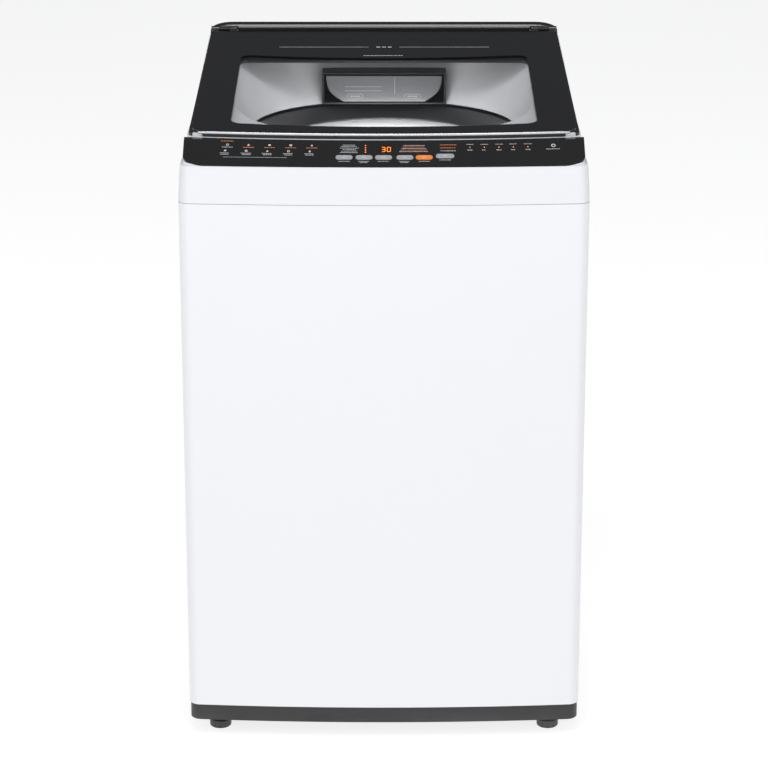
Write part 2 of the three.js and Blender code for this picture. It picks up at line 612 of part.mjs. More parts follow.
/** The basket with its balance ring, hub and lint filter, and the pulsator in its floor. */
function addBasket() {
  part('basket', turned([
    [24, BASKET_BOTTOM], [227, BASKET_BOTTOM], [BASKET_RADIUS, BASKET_BOTTOM + 11], [BASKET_RADIUS, BASKET_TOP],
    [BASKET_RADIUS - 2.5, BASKET_TOP], [BASKET_RADIUS - 2.5, BASKET_BOTTOM + 12],
    [226, BASKET_BOTTOM + 3], [24, BASKET_BOTTOM + 3],
  ], { sides: 32 }), 'steel');
  part('balance_ring', turned([
    [206, BASKET_TOP + GAP], [243, BASKET_TOP + GAP], [246, 812], [246, 844], [240, 850], [212, 850], [206, 842],
  ], { sides: 32 }), 'whitePlastic');
  part('basket_hub', turned([
    [14, 190], [22, 190], [22, 245], [95, 249], [95, BASKET_BOTTOM - GAP], [14, BASKET_BOTTOM - GAP],
  ]), 'aluminium');
  part('lint_filter', block([-26, 217, 560], [26, 230.5, 690]), 'whitePlastic');
  let pulsator = solid(turned([
    [0, 160], [11, 160], [11, 264], [150, 264], [166, 271], [166, 278], [150, 281], [60, 294], [30, 311], [0, 311],
  ]));
  const vane = solid(block([34, -8, 270], [154, 8, 305]));
  for (let i = 0; i < 6; i++) pulsator = pulsator.add(vane.rotate([0, 0, 60 * i]));
  part('pulsator', shell(pulsator), 'whitePlastic');
  part('pulsator_cap', turned([
    [0, 311.4], [28, 311.4], [27, 318], [15, 323], [0, 324],
  ], { sides: 24 }), 'greyPlastic');
}

addCabinet();
addRearPanel();
addBase();
addFeet();
addTopCover();
addControlPanel();
addButtons();
addRearCover();
addLid();
addDispenser();
addServices();
addSuspension();
addTub();
addDrive();
addBasket();

export default machine;
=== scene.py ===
"""Top load washing machine: the visual model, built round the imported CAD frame.

Every piece is made in the row frame in metres, +Z up, with the front facing -Y, and rides on a CAD body.
"""

import json
import logging
import math
import random
from collections.abc import Callable
from dataclasses import dataclass, field
from enum import Enum

import bmesh
import bpy
from mathutils import Matrix, Vector
from mathutils.geometry import tessellate_polygon


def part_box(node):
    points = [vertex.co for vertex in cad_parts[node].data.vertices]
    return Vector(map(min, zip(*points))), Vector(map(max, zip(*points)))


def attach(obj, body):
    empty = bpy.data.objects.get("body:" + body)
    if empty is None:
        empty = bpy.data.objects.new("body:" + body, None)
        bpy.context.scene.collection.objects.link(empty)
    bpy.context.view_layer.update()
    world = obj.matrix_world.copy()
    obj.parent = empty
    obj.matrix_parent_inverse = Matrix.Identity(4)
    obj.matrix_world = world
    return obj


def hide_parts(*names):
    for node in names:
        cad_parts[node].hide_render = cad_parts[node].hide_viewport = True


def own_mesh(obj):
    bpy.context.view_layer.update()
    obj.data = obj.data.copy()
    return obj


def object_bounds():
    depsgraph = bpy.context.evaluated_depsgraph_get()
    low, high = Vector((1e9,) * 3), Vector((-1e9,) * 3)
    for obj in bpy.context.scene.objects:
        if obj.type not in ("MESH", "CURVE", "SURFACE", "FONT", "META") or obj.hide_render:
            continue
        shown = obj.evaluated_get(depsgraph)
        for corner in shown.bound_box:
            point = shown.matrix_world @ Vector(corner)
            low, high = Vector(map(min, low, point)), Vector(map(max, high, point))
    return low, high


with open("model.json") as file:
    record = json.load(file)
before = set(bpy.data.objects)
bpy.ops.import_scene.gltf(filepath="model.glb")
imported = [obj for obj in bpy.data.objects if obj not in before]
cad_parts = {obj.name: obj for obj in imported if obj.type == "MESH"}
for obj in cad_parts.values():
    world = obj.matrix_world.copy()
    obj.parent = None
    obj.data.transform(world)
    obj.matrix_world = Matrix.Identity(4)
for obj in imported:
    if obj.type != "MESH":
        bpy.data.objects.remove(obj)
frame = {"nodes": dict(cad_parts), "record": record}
CAD_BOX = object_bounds()
LOG = logging.getLogger("washing_machine")

Point = tuple[float, float]
Colour = tuple[float, float, float]
Piece = bpy.types.Object


# ---------------------------------------------------------------- sizes shared by the sub-assemblies

@dataclass(frozen=True)
class Machine:
    """The machine's main sizes in metres, taken from the frame where a CAD box gives them."""

    half: float = CAD_BOX[1].x
    front: float = CAD_BOX[0].y
    back: float = CAD_BOX[1].y
    top: float = CAD_BOX[1].z
    seam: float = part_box("top_cover")[0].z
    cabinet_low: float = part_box("cabinet")[0].z
    base_low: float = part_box("base_frame")[0].z
    base_top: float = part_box("base_frame")[1].z
    bow: float = 3.350
    corner: float = 0.018
    gap: float = 0.0004
    mouth: float = 0.201
    mouth_low: float = 0.879

    def set_back(self, x: float) -> float:
        """How far the bowed front is set back at a place across."""
        return x * x / (2 * self.bow)


@dataclass(frozen=True)
class PanelPlane:
    """The control panel's sloping face, on the machine's centre line."""

    low: Vector = field(default_factory=lambda: Vector((0, -0.2924, 0.881)))
    high: Vector = field(default_factory=lambda: Vector((0, -0.2456, 0.9106)))
    half: float = 0.288
    thick: float = 0.0035
    corner_across: float = 0.036
    corner_up: float = 0.020

    @property
    def slope(self) -> float:
        """The angle of the face above the horizontal."""
        return math.atan2(self.high.z - self.low.z, self.high.y - self.low.y)

    @property
    def length(self) -> float:
        """The length of the face up the slope."""
        return (self.high - self.low).length

    def at(self, x: float, up: float, height: float = 0.0) -> Vector:
        """A point on or above the face.

        Args:
            x: Place across the machine.
            up: Distance up the slope from the lower edge.
            height: Distance out of the face.

        Returns:
            The point in the row frame.
        """
        y = self.low.y + up * math.cos(self.slope) - height * math.sin(self.slope) + SIZES.set_back(x)
        return Vector((x, y, self.low.z + up * math.sin(self.slope) + height * math.cos(self.slope)))

    def matrix(self, x: float, up: float, height: float = 0.0) -> Matrix:
        """The placing matrix of something that lies on the face at that spot."""
        turn = Matrix.Rotation(math.atan2(x, SIZES.bow), 4, "Z")
        return Matrix.Translation(self.at(x, up, height)) @ turn @ Matrix.Rotation(self.slope, 4, "X")


@dataclass(frozen=True)
class LidPlane:
    """The lid's own plane: y is measured forward from the hinge as a negative length."""

    hinge: Vector = field(default_factory=lambda: Vector((0, 0.281, 0.981)))
    front: Vector = field(default_factory=lambda: Vector((0, -0.240, 0.919)))
    half_front: float = 0.283
    half_rear: float = 0.280
    bow: float = 2.860
    drop: float = 0.0088
    glass: float = 0.004
    window_half: float = 0.225
    window_rear: float = 0.157
    window_front: float = 0.493
    window_bow: float = 1.400

    @property
    def tilt(self) -> float:
        """The closed lid's angle to the horizontal."""
        return math.atan2(self.hinge.z - self.front.z, self.hinge.y - self.front.y)

    @property
    def length(self) -> float:
        """The lid's length from the hinge to the front edge."""
        return (self.hinge - self.front).length

    @property
    def matrix(self) -> Matrix:
        """The placing matrix of the lid's plane in the row frame."""
        return Matrix.Translation(self.hinge) @ Matrix.Rotation(self.tilt, 4, "X")

    def set_back(self, x: float) -> float:
        """How far the lid's bowed front edge is set back at a place across."""
        return x * x / (2 * self.bow)


SIZES = Machine()
PANEL = PanelPlane()
LID = LidPlane()
INLET: Point = (-0.190, 0.86)
DRAIN: Point = (-0.180, 0.095)
GLAND: Point = (0.200, 0.85)


# ---------------------------------------------------------------- shader tools

def operator(operation: str, swapped: bool = False) -> Callable:
    """A method that joins its signal and another value by a Math node."""
    def method(self: "Signal", other: "Signal | float") -> "Signal":
        """Joins the two values."""
        return self.join(operation, other, self) if swapped else self.join(operation, self, other)
    return method


class Signal:
    """A value socket of a material. Python's operators on it add Math nodes."""

    def __init__(self, maker: "MaterialMaker", socket: bpy.types.NodeSocket) -> None:
        """Keeps the socket and the maker that owns its tree."""
        self.maker = maker
        self.socket = socket

    def join(self, operation: str, first: "Signal | float", second: "Signal | float") -> "Signal":
        """One Math node on two values."""
        return self.maker.signal("ShaderNodeMath", {"operation": operation}, {0: first, 1: second})

    __add__ = __radd__ = operator("ADD")
    __sub__ = operator("SUBTRACT")
    __rsub__ = operator("SUBTRACT", swapped=True)
    __mul__ = __rmul__ = operator("MULTIPLY")
    __pow__ = operator("POWER")
    most = operator("MAXIMUM")

    def __abs__(self) -> "Signal":
        """abs(self)."""
        return self.join("ABSOLUTE", self, 0.0)

    def step(self, low: float, high: float) -> "Signal":
        """A smooth step from 0 at low to 1 at high."""
        settings = {"interpolation_type": "SMOOTHSTEP"}
        return self.maker.signal("ShaderNodeMapRange", settings, {0: self, 1: low, 2: high, 3: 0.0, 4: 1.0})


class MaterialMaker:
    """Builds one material's node tree."""

    def __init__(self, name: str) -> None:
        """Starts an empty tree with a Principled shader on the output."""
        self.material = bpy.data.materials.new(name)
        self.material.use_nodes = True
        self.tree = self.material.node_tree
        self.tree.nodes.clear()
        self.output = self.tree.nodes.new("ShaderNodeOutputMaterial")
        self.shader = self.tree.nodes.new("ShaderNodeBsdfPrincipled")
        self.tree.links.new(self.shader.outputs[0], self.output.inputs[0])

    def node(self, kind: str, settings: dict | None = None, sockets: dict | None = None) -> bpy.types.Node:
        """Adds a node.

        Args:
            kind: The node's type.
            settings: Properties that are set first, or "stops" for a colour ramp.
            sockets: Values, or signals to link, by the input's name or place.

        Returns:
            The new node.
        """
        made = self.tree.nodes.new(kind)
        for key, value in (settings or {}).items():
            if key == "stops":
                self.set_stops(made.color_ramp, value)
            else:
                setattr(made, key, value)
        for key, value in (sockets or {}).items():
            self.feed(made.inputs[key], value)
        return made

    @staticmethod
    def set_stops(ramp: bpy.types.ColorRamp, stops: list[tuple[float, Colour]]) -> None:
        """Sets a colour ramp's stops."""
        while len(ramp.elements) < len(stops):
            ramp.elements.new(1.0)
        for element, (place, colour) in zip(ramp.elements, stops):
            element.position = place
            element.color = (*colour, 1.0)

    def feed(self, socket: bpy.types.NodeSocket, value: object) -> None:
        """Links a signal to a socket, or sets the socket's own value."""
        if isinstance(value, Signal):
            self.tree.links.new(value.socket, socket)
        elif isinstance(value, tuple) and len(value) == 3 and socket.type == "RGBA":
            socket.default_value = (*value, 1.0)
        else:
            socket.default_value = value

    def signal(
        self, kind: str, settings: dict | None, sockets: dict | None, output: int | str = 0,
    ) -> Signal:
        """Adds a node and returns one of its outputs as a signal."""
        return Signal(self, self.node(kind, settings, sockets).outputs[output])

    def place(self) -> Signal:
        """The surface's own coordinates, which are row frame metres at rest."""
        return self.signal("ShaderNodeTexCoord", None, None, "Object")

    def parts(self, vector: Signal) -> tuple[Signal, Signal, Signal]:
        """A vector's three values."""
        split = self.node("ShaderNodeSeparateXYZ", None, {0: vector})
        return tuple(Signal(self, split.outputs[i]) for i in range(3))

    def stretched(self, vector: Signal, scale: tuple[float, float, float]) -> Signal:
        """A vector scaled along each axis."""
        return self.signal("ShaderNodeVectorMath", {"operation": "MULTIPLY"}, {0: vector, 1: scale})

    def noise(self, vector: Signal, scale: float, detail: float = 3.0, rough: float = 0.55) -> Signal:
        """Fractal noise from 0 to 1."""
        sockets = {"Vector": vector, "Scale": scale, "Detail": detail, "Roughness": rough}
        return self.signal("ShaderNodeTexNoise", None, sockets, 0)

    def cells(self, vector: Signal, scale: float, output: str = "Color") -> Signal:
        """A Voronoi cell pattern."""
        return self.signal("ShaderNodeTexVoronoi", None, {"Vector": vector, "Scale": scale}, output)

    def blend(self, factor: Signal | float, first: Signal | Colour, second: Signal | Colour) -> Signal:
        """A mix of two colours."""
        node = self.node("ShaderNodeMix", {"data_type": "RGBA"}, {0: factor, 6: first, 7: second})
        return Signal(self, node.outputs[2])

    def bump(self, height: Signal, distance: float, strength: float = 1.0) -> None:
        """Feeds the shader's normal from a height."""
        sockets = {"Height": height, "Distance": distance, "Strength": strength}
        self.feed(self.shader.inputs["Normal"], self.signal("ShaderNodeBump", None, sockets, "Normal"))

    def set(self, **values: object) -> None:
        """Sets the shader's sockets, named with underscores for spaces."""
        for key, value in values.items():
            self.feed(self.shader.inputs[key.replace("_", " ")], value)


class Pattern(Enum):
    """What a finish shows besides its colour and grain."""

    GRAIN = "grain"
    BRUSHED = "brushed"
    SPANGLE = "spangle"
    TRACES = "traces"
    DUSTY = "dusty"


@dataclass(frozen=True)
class Finish:
    """An opaque or translucent surface finish."""

    colour: Colour
    roughness: float
    metallic: float = 0.0
    coat: float = 0.0
    coat_roughness: float = 0.1
    grain: float = 1500.0
    depth: float = 0.00002
    tone: float = 0.06
    alpha: float = 1.0
    glow: float = 0.0
    pattern: Pattern = Pattern.GRAIN

    def make(self, name: str) -> bpy.types.Material:
        """Builds the finish as a material.

        Args:
            name: The material's name.

        Returns:
            The material.
        """
        maker = MaterialMaker(name)
        place = maker.place()
        fine = maker.noise(place, self.grain, 2.0)
        broad = maker.noise(place, 9.0, 4.0)
        shade = tuple(channel * (1 - self.tone) for channel in self.colour)
        colour = maker.blend(broad * 0.6 + fine * 0.4, shade, self.colour)
        rough = self.roughness * (0.86 + broad * 0.28)
        height = fine
        if self.pattern is Pattern.BRUSHED:
            lines = maker.noise(maker.stretched(place, (1.0, 1.0, 60.0)), 45.0, 3.0)
            rough = rough * (0.75 + lines * 0.5)
            colour = maker.blend(lines, shade, self.colour)
            height = lines
        elif self.pattern is Pattern.SPANGLE:
            spangle, _, _ = maker.parts(maker.cells(place, 85.0))
            colour = maker.blend(spangle, tuple(c * 0.72 for c in self.colour), self.colour)
            rough = rough * (0.8 + spangle * 0.4)
        elif self.pattern is Pattern.TRACES:
            tracks = maker.cells(place, 260.0, "Distance").step(0.32, 0.38)
            colour = maker.blend(tracks, self.colour, tuple(min(1.0, c * 2.2) for c in self.colour))
            height = tracks
        elif self.pattern is Pattern.DUSTY:
            _, _, high = maker.parts(place)
            dust = (1 - high.step(0.0, 0.055)) * broad.step(0.35, 0.75)
            colour = maker.blend(dust * 0.35, colour, (0.16, 0.155, 0.15))
            rough = rough + dust * 0.2
        maker.set(
            Base_Color=colour, Roughness=rough, Metallic=self.metallic, Coat_Weight=self.coat,
            Coat_Roughness=self.coat_roughness, Alpha=self.alpha,
        )
        if self.glow:
            maker.set(Emission_Color=self.colour, Emission_Strength=self.glow)
        maker.bump(height, self.depth)
        return maker.material


@dataclass(frozen=True)
class LidGlass:
    """Toughened glass: tinted in the window and printed black round it."""

    ink: Colour = (0.011, 0.011, 0.012)
    tint: Colour = (0.05, 0.053, 0.058)
    clear: float = 0.085
    soft: float = 0.003

    def make(self, name: str) -> bpy.types.Material:
        """Builds the glass, with the window masked in the lid's own plane."""
        maker = MaterialMaker(name)
        place = maker.place()
        across, y, z = maker.parts(place)
        along = (y - LID.hinge.y) * math.cos(LID.tilt) + (z - LID.hinge.z) * math.sin(LID.tilt)
        bowed = along - across * across * (1 / (2 * LID.window_bow))
        middle = -(LID.window_front + LID.window_rear) / 2
        reach = (LID.window_front - LID.window_rear) / 2
        round_off = 0.018
        out_x = (abs(across) - (LID.window_half - round_off)).most(0.0)
        out_y = (abs(bowed - middle) - (reach - round_off)).most(0.0)
        edge = (out_x * out_x + out_y * out_y) ** 0.5 - round_off
        printed = edge.step(-self.soft, self.soft * 0.3)
        smears = maker.noise(place, 14.0, 5.0)
        maker.set(
            Base_Color=maker.blend(printed, self.tint, self.ink),
            Roughness=0.035 + smears * 0.05,
            Alpha=self.clear + printed * (1.0 - self.clear),
            Coat_Weight=0.0,
            IOR=1.5,
        )
        maker.bump(maker.noise(place, 3.0, 1.0), 0.0003)
        return maker.material


# ---------------------------------------------------------------- mesh tools

def new_object(name: str, points: list, faces: list) -> Piece:
    """Makes a mesh object from points and faces.

    Args:
        name: The piece's name.
        points: Its corners in metres.
        faces: Lists of corner places.

    Returns:
        The object, with its faces turned outwards.
    """
    mesh = bpy.data.meshes.new(name)
    mesh.from_pydata([tuple(point) for point in points], [], faces)
    made = bpy.data.objects.new(name, mesh)
    bpy.context.scene.collection.objects.link(made)
    tidy(made)
    return made


def tidy(made: Piece, join: float = 1e-6) -> None:
    """Merges corners that meet and turns the faces outwards."""
    form = bmesh.new()
    form.from_mesh(made.data)
    bmesh.ops.remove_doubles(form, verts=form.verts, dist=join)
    bmesh.ops.dissolve_degenerate(form, edges=form.edges, dist=1e-7)
    bmesh.ops.recalc_face_normals(form, faces=form.faces)
    form.to_mesh(made.data)
    form.free()


def settle(made: Piece) -> Piece:
    """Applies a piece's modifiers to its mesh."""
    bpy.context.view_layer.update()
    shaped = bpy.data.meshes.new_from_object(made.evaluated_get(bpy.context.evaluated_depsgraph_get()))
    made.modifiers.clear()
    made.data = shaped
    return made


def soften(made: Piece, width: float, segments: int = 3, angle: float = 35.0) -> Piece:
    """Rounds a piece's edges that are sharper than an angle in degrees."""
    tool = made.modifiers.new("soften", "BEVEL")
    tool.width = width
    tool.segments = segments
    tool.limit_method = "ANGLE"
    tool.angle_limit = math.radians(angle)
    tool.use_clamp_overlap = True
    return settle(made)


def shade(made: Piece, angle: float = 32.0) -> Piece:
    """Shades a piece smooth, apart from edges sharper than an angle in degrees."""
    made.data.shade_smooth()
    made.data.set_sharp_from_angle(angle=math.radians(angle))
    tool = made.modifiers.new("even_shading", "WEIGHTED_NORMAL")
    tool.keep_sharp = True
    tool.weight = 80
    return settle(made)


def combine(made: Piece, other: Piece, way: str = "DIFFERENCE") -> Piece:
    """Cuts a piece by another, or joins the other to it, and removes the other."""
    tool = made.modifiers.new("combine", "BOOLEAN")
    tool.operation = way
    tool.solver = "EXACT"
    tool.object = other
    settle(made)
    bpy.data.objects.remove(other, do_unlink=True)
    return made


def at(x: float, y: float, z: float) -> Matrix:
    """The matrix of a shift."""
    return Matrix.Translation((x, y, z))


def spin(degrees: float, axis: str = "Z") -> Matrix:
    """The matrix of a turn about an axis through the origin."""
    return Matrix.Rotation(math.radians(degrees), 4, axis)


def standing(x: float, y: float, z: float) -> Matrix:
    """The matrix that stands an outline upright at a place, facing the front."""
    return at(x, y, z) @ spin(90, "X")


def polar(radius: float, degrees: float, x: float = 0.0, y: float = 0.0) -> Point:
    """A point at a radius and angle round a centre in plan."""
    return (x + radius * math.cos(math.radians(degrees)), y + radius * math.sin(math.radians(degrees)))


def drill(
    made: Piece, radius: float, x: float, y: float, low: float, high: float, sides: int = 32,
) -> Piece:
    """Drills an upright hole through a piece."""
    return combine(made, prism("hole", circle(radius, sides, x, y), low, high))


def moved(made: Piece, matrix: Matrix) -> Piece:
    """Moves a piece's mesh by a matrix."""
    made.data.transform(matrix)
    return made


def merged(name: str, pieces: list[Piece]) -> Piece:
    """Puts several pieces' meshes into one object."""
    points: list = []
    faces: list = []
    for piece in pieces:
        start = len(points)
        points += [vertex.co.copy() for vertex in piece.data.vertices]
        faces += [[start + i for i in face.vertices] for face in piece.data.polygons]
        bpy.data.objects.remove(piece, do_unlink=True)
    mesh = bpy.data.meshes.new(name)
    mesh.from_pydata(points, [], faces)
    made = bpy.data.objects.new(name, mesh)
    bpy.context.scene.collection.objects.link(made)
    return made


def arc(x: float, y: float, radius: float, start: float, end: float, steps: int = 8) -> list[Point]:
    """Points on an arc, with its angles in degrees."""
    angles = [math.radians(start + (end - start) * i / steps) for i in range(steps + 1)]
    return [(x + radius * math.cos(a), y + radius * math.sin(a)) for a in angles]


def distinct(points: list[Point]) -> list[Point]:
    """Drops points that repeat the one before them."""
    return [p for i, p in enumerate(points) if math.dist(p, points[i - 1]) > 1e-7]


def span(low: float, high: float, steps: int) -> list[float]:
    """Evenly spread values from low to high."""
    return [low + (high - low) * i / steps for i in range(steps + 1)]


def bowed_outline(
    half: float, front: float, back: float, corner: float, rear: float, bow: float, steps: int = 36,
) -> list[Point]:
    """An outline in plan with a bowed front edge and rounded corners.

    Args:
        half: Half the width.
        front: The front edge on the centre line.
        back: The rear edge.
        corner: The front corners' radius.
        rear: The rear corners' radius.
        bow: The radius of the front edge's bow.
        steps: How many stretches the front edge has.

    Returns:
        The outline, anticlockwise.
    """
    run = half - corner
    inset = front + run * run / (2 * bow) + corner
    return distinct([
        *[(x, front + x * x / (2 * bow)) for x in span(-run, run, steps)],
        *arc(run, inset, corner, -90, 0),
        *arc(half - rear, back - rear, rear, 0, 90),
        *arc(rear - half, back - rear, rear, 90, 180),
        *arc(-run, inset, corner, 180, 270),
    ])


def rectangle(width: float, height: float) -> list[Point]:
    """A rectangle about its middle."""
    x, y = width / 2, height / 2
    return [(-x, -y), (x, -y), (x, y), (-x, y)]


def rounded(width: float, height: float, radius: float, steps: int = 5) -> list[Point]:
    """A rectangle with round corners about its middle."""
    x, y = width / 2 - radius, height / 2 - radius
    return distinct([
        *arc(x, -y, radius, -90, 0, steps), *arc(x, y, radius, 0, 90, steps),
        *arc(-x, y, radius, 90, 180, steps), *arc(-x, -y, radius, 180, 270, steps),
    ])


def circle(radius: float, sides: int = 32, x: float = 0.0, y: float = 0.0) -> list[Point]:
    """A round outline."""
    return arc(x, y, radius, 0, 360 - 360 / sides, sides - 1)


def prism(name: str, outline: list[Point], low: float, high: float, holes: tuple = ()) -> Piece:
    """A straight prism from an outline in plan, with holes."""
    loops = [outline, *holes]
    flat = [point for loop in loops for point in loop]
    points = [(x, y, low) for x, y in flat] + [(x, y, high) for x, y in flat]
    count = len(flat)
    caps = tessellate_polygon([[Vector((x, y, 0)) for x, y in loop] for loop in loops])
    faces = [list(face) for face in caps] + [[i + count for i in face] for face in caps]
    start = 0
    for loop in loops:
        for i in range(len(loop)):
            a, b = start + i, start + (i + 1) % len(loop)
            faces.append([a, b, b + count, a + count])
        start += len(loop)
    return new_object(name, points, faces)


def loft(name: str, rings: list[list]) -> Piece:
    """A closed skin over rings that have the same number of points."""
    count = len(rings[0])
    faces = []
    for level in range(len(rings) - 1):
        for i in range(count):
            a, b = level * count + i, level * count + (i + 1) % count
            faces.append([a, b, b + count, a + count])
    last = (len(rings) - 1) * count
    faces += [list(range(count)), list(range(last, last + count))]
    return new_object(name, [point for ring in rings for point in ring], faces)


def turned(name: str, profile: list[Point], x: float = 0.0, y: float = 0.0, sides: int = 96) -> Piece:
    """A body turned about a vertical axis from radius and height pairs.

    Args:
        name: The piece's name.
        profile: Radius and height pairs, from axis to axis or closing on themselves.
        x: The axis's place across.
        y: The axis's place in depth.
        sides: How many sides the round has.

    Returns:
        The object.
    """
    ring = len(profile)
    turns = [2 * math.pi * i / sides for i in range(sides)]
    points = [(x + r * math.cos(t), y + r * math.sin(t), z) for t in turns for r, z in profile]
    closed = profile[0][0] > 0
    faces = []
    for side in range(sides):
        nearest, further = side * ring, (side + 1) % sides * ring
        for i in range(ring if closed else ring - 1):
            j = (i + 1) % ring
            faces.append([nearest + i, nearest + j, further + j, further + i])
    return new_object(name, points, faces)


def rounded_profile(
    profile: list[Point], radius: float, steps: int = 4, closed: bool = True,
) -> list[Point]:
    """Rounds the corners of a profile by a radius, or by less where its sides are short."""
    result: list[Point] = []
    count = len(profile)
    for i, here in enumerate(profile):
        if not closed and i in (0, count - 1):
            result.append(here)
            continue
        before, after = Vector(profile[i - 1]), Vector(profile[(i + 1) % count])
        spot = Vector(here)
        reach = min(radius, (before - spot).length * 0.45, (after - spot).length * 0.45)
        first = spot + (before - spot).normalized() * reach
        last = spot + (after - spot).normalized() * reach
        for step in range(steps + 1):
            t = step / steps
            curve = first * (1 - t) ** 2 + spot * 2 * t * (1 - t) + last * t * t
            result.append((curve.x, curve.y))
    return distinct(result) if closed else result


def block(name: str, low: tuple, high: tuple) -> Piece:
    """A block from its lowest and highest corners, for a cut or for softening."""
    outline = [(low[0], low[1]), (high[0], low[1]), (high[0], high[1]), (low[0], high[1])]
    return prism(name, outline, low[2], high[2])


def bar(name: str, start: Vector, end: Vector, radius: float, sides: int = 32) -> Piece:
    """A round bar between two points."""
    made = prism(name, circle(radius, sides), 0, (end - start).length)
    turn = (end - start).to_track_quat("Z", "Y").to_matrix().to_4x4()
    return moved(made, Matrix.Translation(start) @ turn)


def across(
    name: str, axis: str, low: float, high: float, spot: Point, radius: float, sides: int = 32,
) -> Piece:
    """A round bar along an axis, at a spot given by its places on the other two."""
    place = "xyz".index(axis)
    start, end = (Vector((*spot[:place], value, *spot[place:])) for value in (low, high))
    return bar(name, start, end, radius, sides)


def wire(name: str, path: list[Vector], radius: float, sides: int = 10) -> Piece:
    """A round wire along a path, closed at its ends."""
    rings = []
    side = Vector((0, 0, 1))
    for i, point in enumerate(path):
        ahead = (path[min(i + 1, len(path) - 1)] - path[max(i - 1, 0)]).normalized()
        across = ahead.cross(side).normalized()
        up = across.cross(ahead)
        turns = [2 * math.pi * k / sides for k in range(sides)]
        rings.append([point + (across * math.cos(t) + up * math.sin(t)) * radius for t in turns])
    return loft(name, rings)


def mouth_ring(
    half_x: float, half_y: float, middle: float, power: float, z: float, count: int = 128,
) -> list[tuple[float, float, float]]:
    """A ring in plan whose corners square off as the power rises from 2, which is an ellipse."""
    ring = []
    for i in range(count):
        angle = 2 * math.pi * i / count
        cos, sin = math.cos(angle), math.sin(angle)
        size = (abs(cos) ** power + abs(sin) ** power) ** (-1 / power)
        ring.append((half_x * size * cos, middle + half_y * size * sin, z))
    return ring


# ---------------------------------------------------------------- finishes of this machine

class Look(Enum):
    """The machine's finishes, named by their material slots."""

    WHITE_PAINT = "white_paint"
    WHITE_PLASTIC = "white_plastic"
    BLACK_PLASTIC = "black_plastic"
    GREY_PLASTIC = "grey_plastic"
    GLOSS_BLACK = "gloss_black"
    SMOKE = "smoke_plastic"
    KEY_GREY = "button_grey"
    KEY_ORANGE = "button_orange"
    LENS = "lens"
    GLASS = "lid_glass"
    CHROME = "chrome_trim"
    GALVANISED = "galvanised_steel"
    STEEL = "steel"
    BASKET_STEEL = "basket_steel"
    ALUMINIUM = "cast_aluminium"
    RUBBER = "rubber"
    FOOT = "foot_rubber"
    BOARD = "circuit_board"


class Ink(Enum):
    """Marks, and small parts in a tone of their own, with the slot that each is filed under."""

    WHITE = "gloss_black"
    ORANGE = "button_orange"
    LIT = "lens"
    PALE = "smoke_plastic"
    BLACKENED = "steel"
    RING = "grey_plastic"
    RIM = "black_plastic"


FINISHES: dict[Enum, Finish | LidGlass] = {
    Look.WHITE_PAINT: Finish(
        (0.80, 0.805, 0.825), 0.30, coat=0.35, grain=700.0, depth=0.000006, tone=0.012,
    ),
    Look.WHITE_PLASTIC: Finish(
        (0.775, 0.78, 0.80), 0.42, coat=0.1, grain=1100.0, depth=0.00001, tone=0.015,
    ),
    Look.BLACK_PLASTIC: Finish(
        (0.021, 0.021, 0.022), 0.42, grain=1700.0, depth=0.00004, pattern=Pattern.DUSTY,
    ),
    Look.GREY_PLASTIC: Finish((0.40, 0.41, 0.42), 0.45, grain=1500.0, depth=0.00003),
    Look.GLOSS_BLACK: Finish((0.016, 0.016, 0.0165), 0.22, coat=0.4, grain=500.0, depth=0.000004, tone=0.1),
    Look.SMOKE: Finish((0.20, 0.205, 0.215), 0.18, coat=0.4, grain=400.0, depth=0.00001, alpha=0.94),
    Look.KEY_GREY: Finish((0.36, 0.37, 0.385), 0.34, coat=0.25, grain=1800.0, depth=0.00001),
    Look.KEY_ORANGE: Finish((0.86, 0.24, 0.035), 0.34, coat=0.25, grain=1800.0, depth=0.00001),
    Look.LENS: Finish((0.018, 0.014, 0.013), 0.1, coat=0.6, grain=300.0, depth=0.000003),
    Look.GLASS: LidGlass(),
    Look.CHROME: Finish((0.66, 0.67, 0.69), 0.2, 1.0, grain=900.0, depth=0.000005, tone=0.03),
    Look.GALVANISED: Finish(
        (0.60, 0.62, 0.64), 0.42, 0.9, grain=1200.0, depth=0.00001, pattern=Pattern.SPANGLE,
    ),
    Look.STEEL: Finish((0.56, 0.57, 0.59), 0.3, 1.0, grain=1500.0, depth=0.00001, pattern=Pattern.BRUSHED),
    Look.BASKET_STEEL: Finish(
        (0.72, 0.725, 0.735), 0.27, 1.0, depth=0.00001, tone=0.1, pattern=Pattern.BRUSHED,
    ),
    Look.ALUMINIUM: Finish((0.52, 0.53, 0.54), 0.5, 0.9, grain=800.0, depth=0.00006, tone=0.15),
    Look.RUBBER: Finish((0.017, 0.017, 0.018), 0.7, grain=1600.0, depth=0.00005, tone=0.2),
    Look.FOOT: Finish(
        (0.016, 0.016, 0.017), 0.35, coat=0.3, grain=1200.0, depth=0.00003, pattern=Pattern.DUSTY,
    ),
    Look.BOARD: Finish((0.015, 0.09, 0.04), 0.4, coat=0.5, depth=0.00003, pattern=Pattern.TRACES),
    Ink.WHITE: Finish((0.62, 0.63, 0.64), 0.5, grain=2500.0, depth=0.000004),
    Ink.ORANGE: Finish((0.80, 0.24, 0.05), 0.5, grain=2500.0, depth=0.000004),
    Ink.PALE: Finish((0.42, 0.43, 0.44), 0.4, grain=2500.0, depth=0.000004),
    Ink.BLACKENED: Finish((0.02, 0.02, 0.021), 0.5, 0.3, grain=1500.0, depth=0.00001),
    Ink.RING: Finish((0.66, 0.67, 0.69), 0.32, coat=0.3, grain=1300.0, depth=0.00001),
    Ink.RIM: Finish((0.05, 0.05, 0.052), 0.32, coat=0.3, grain=1300.0, depth=0.00002),
    Ink.LIT: Finish((1.0, 0.23, 0.025), 0.5, grain=2500.0, depth=0.000004, glow=1.5),
}


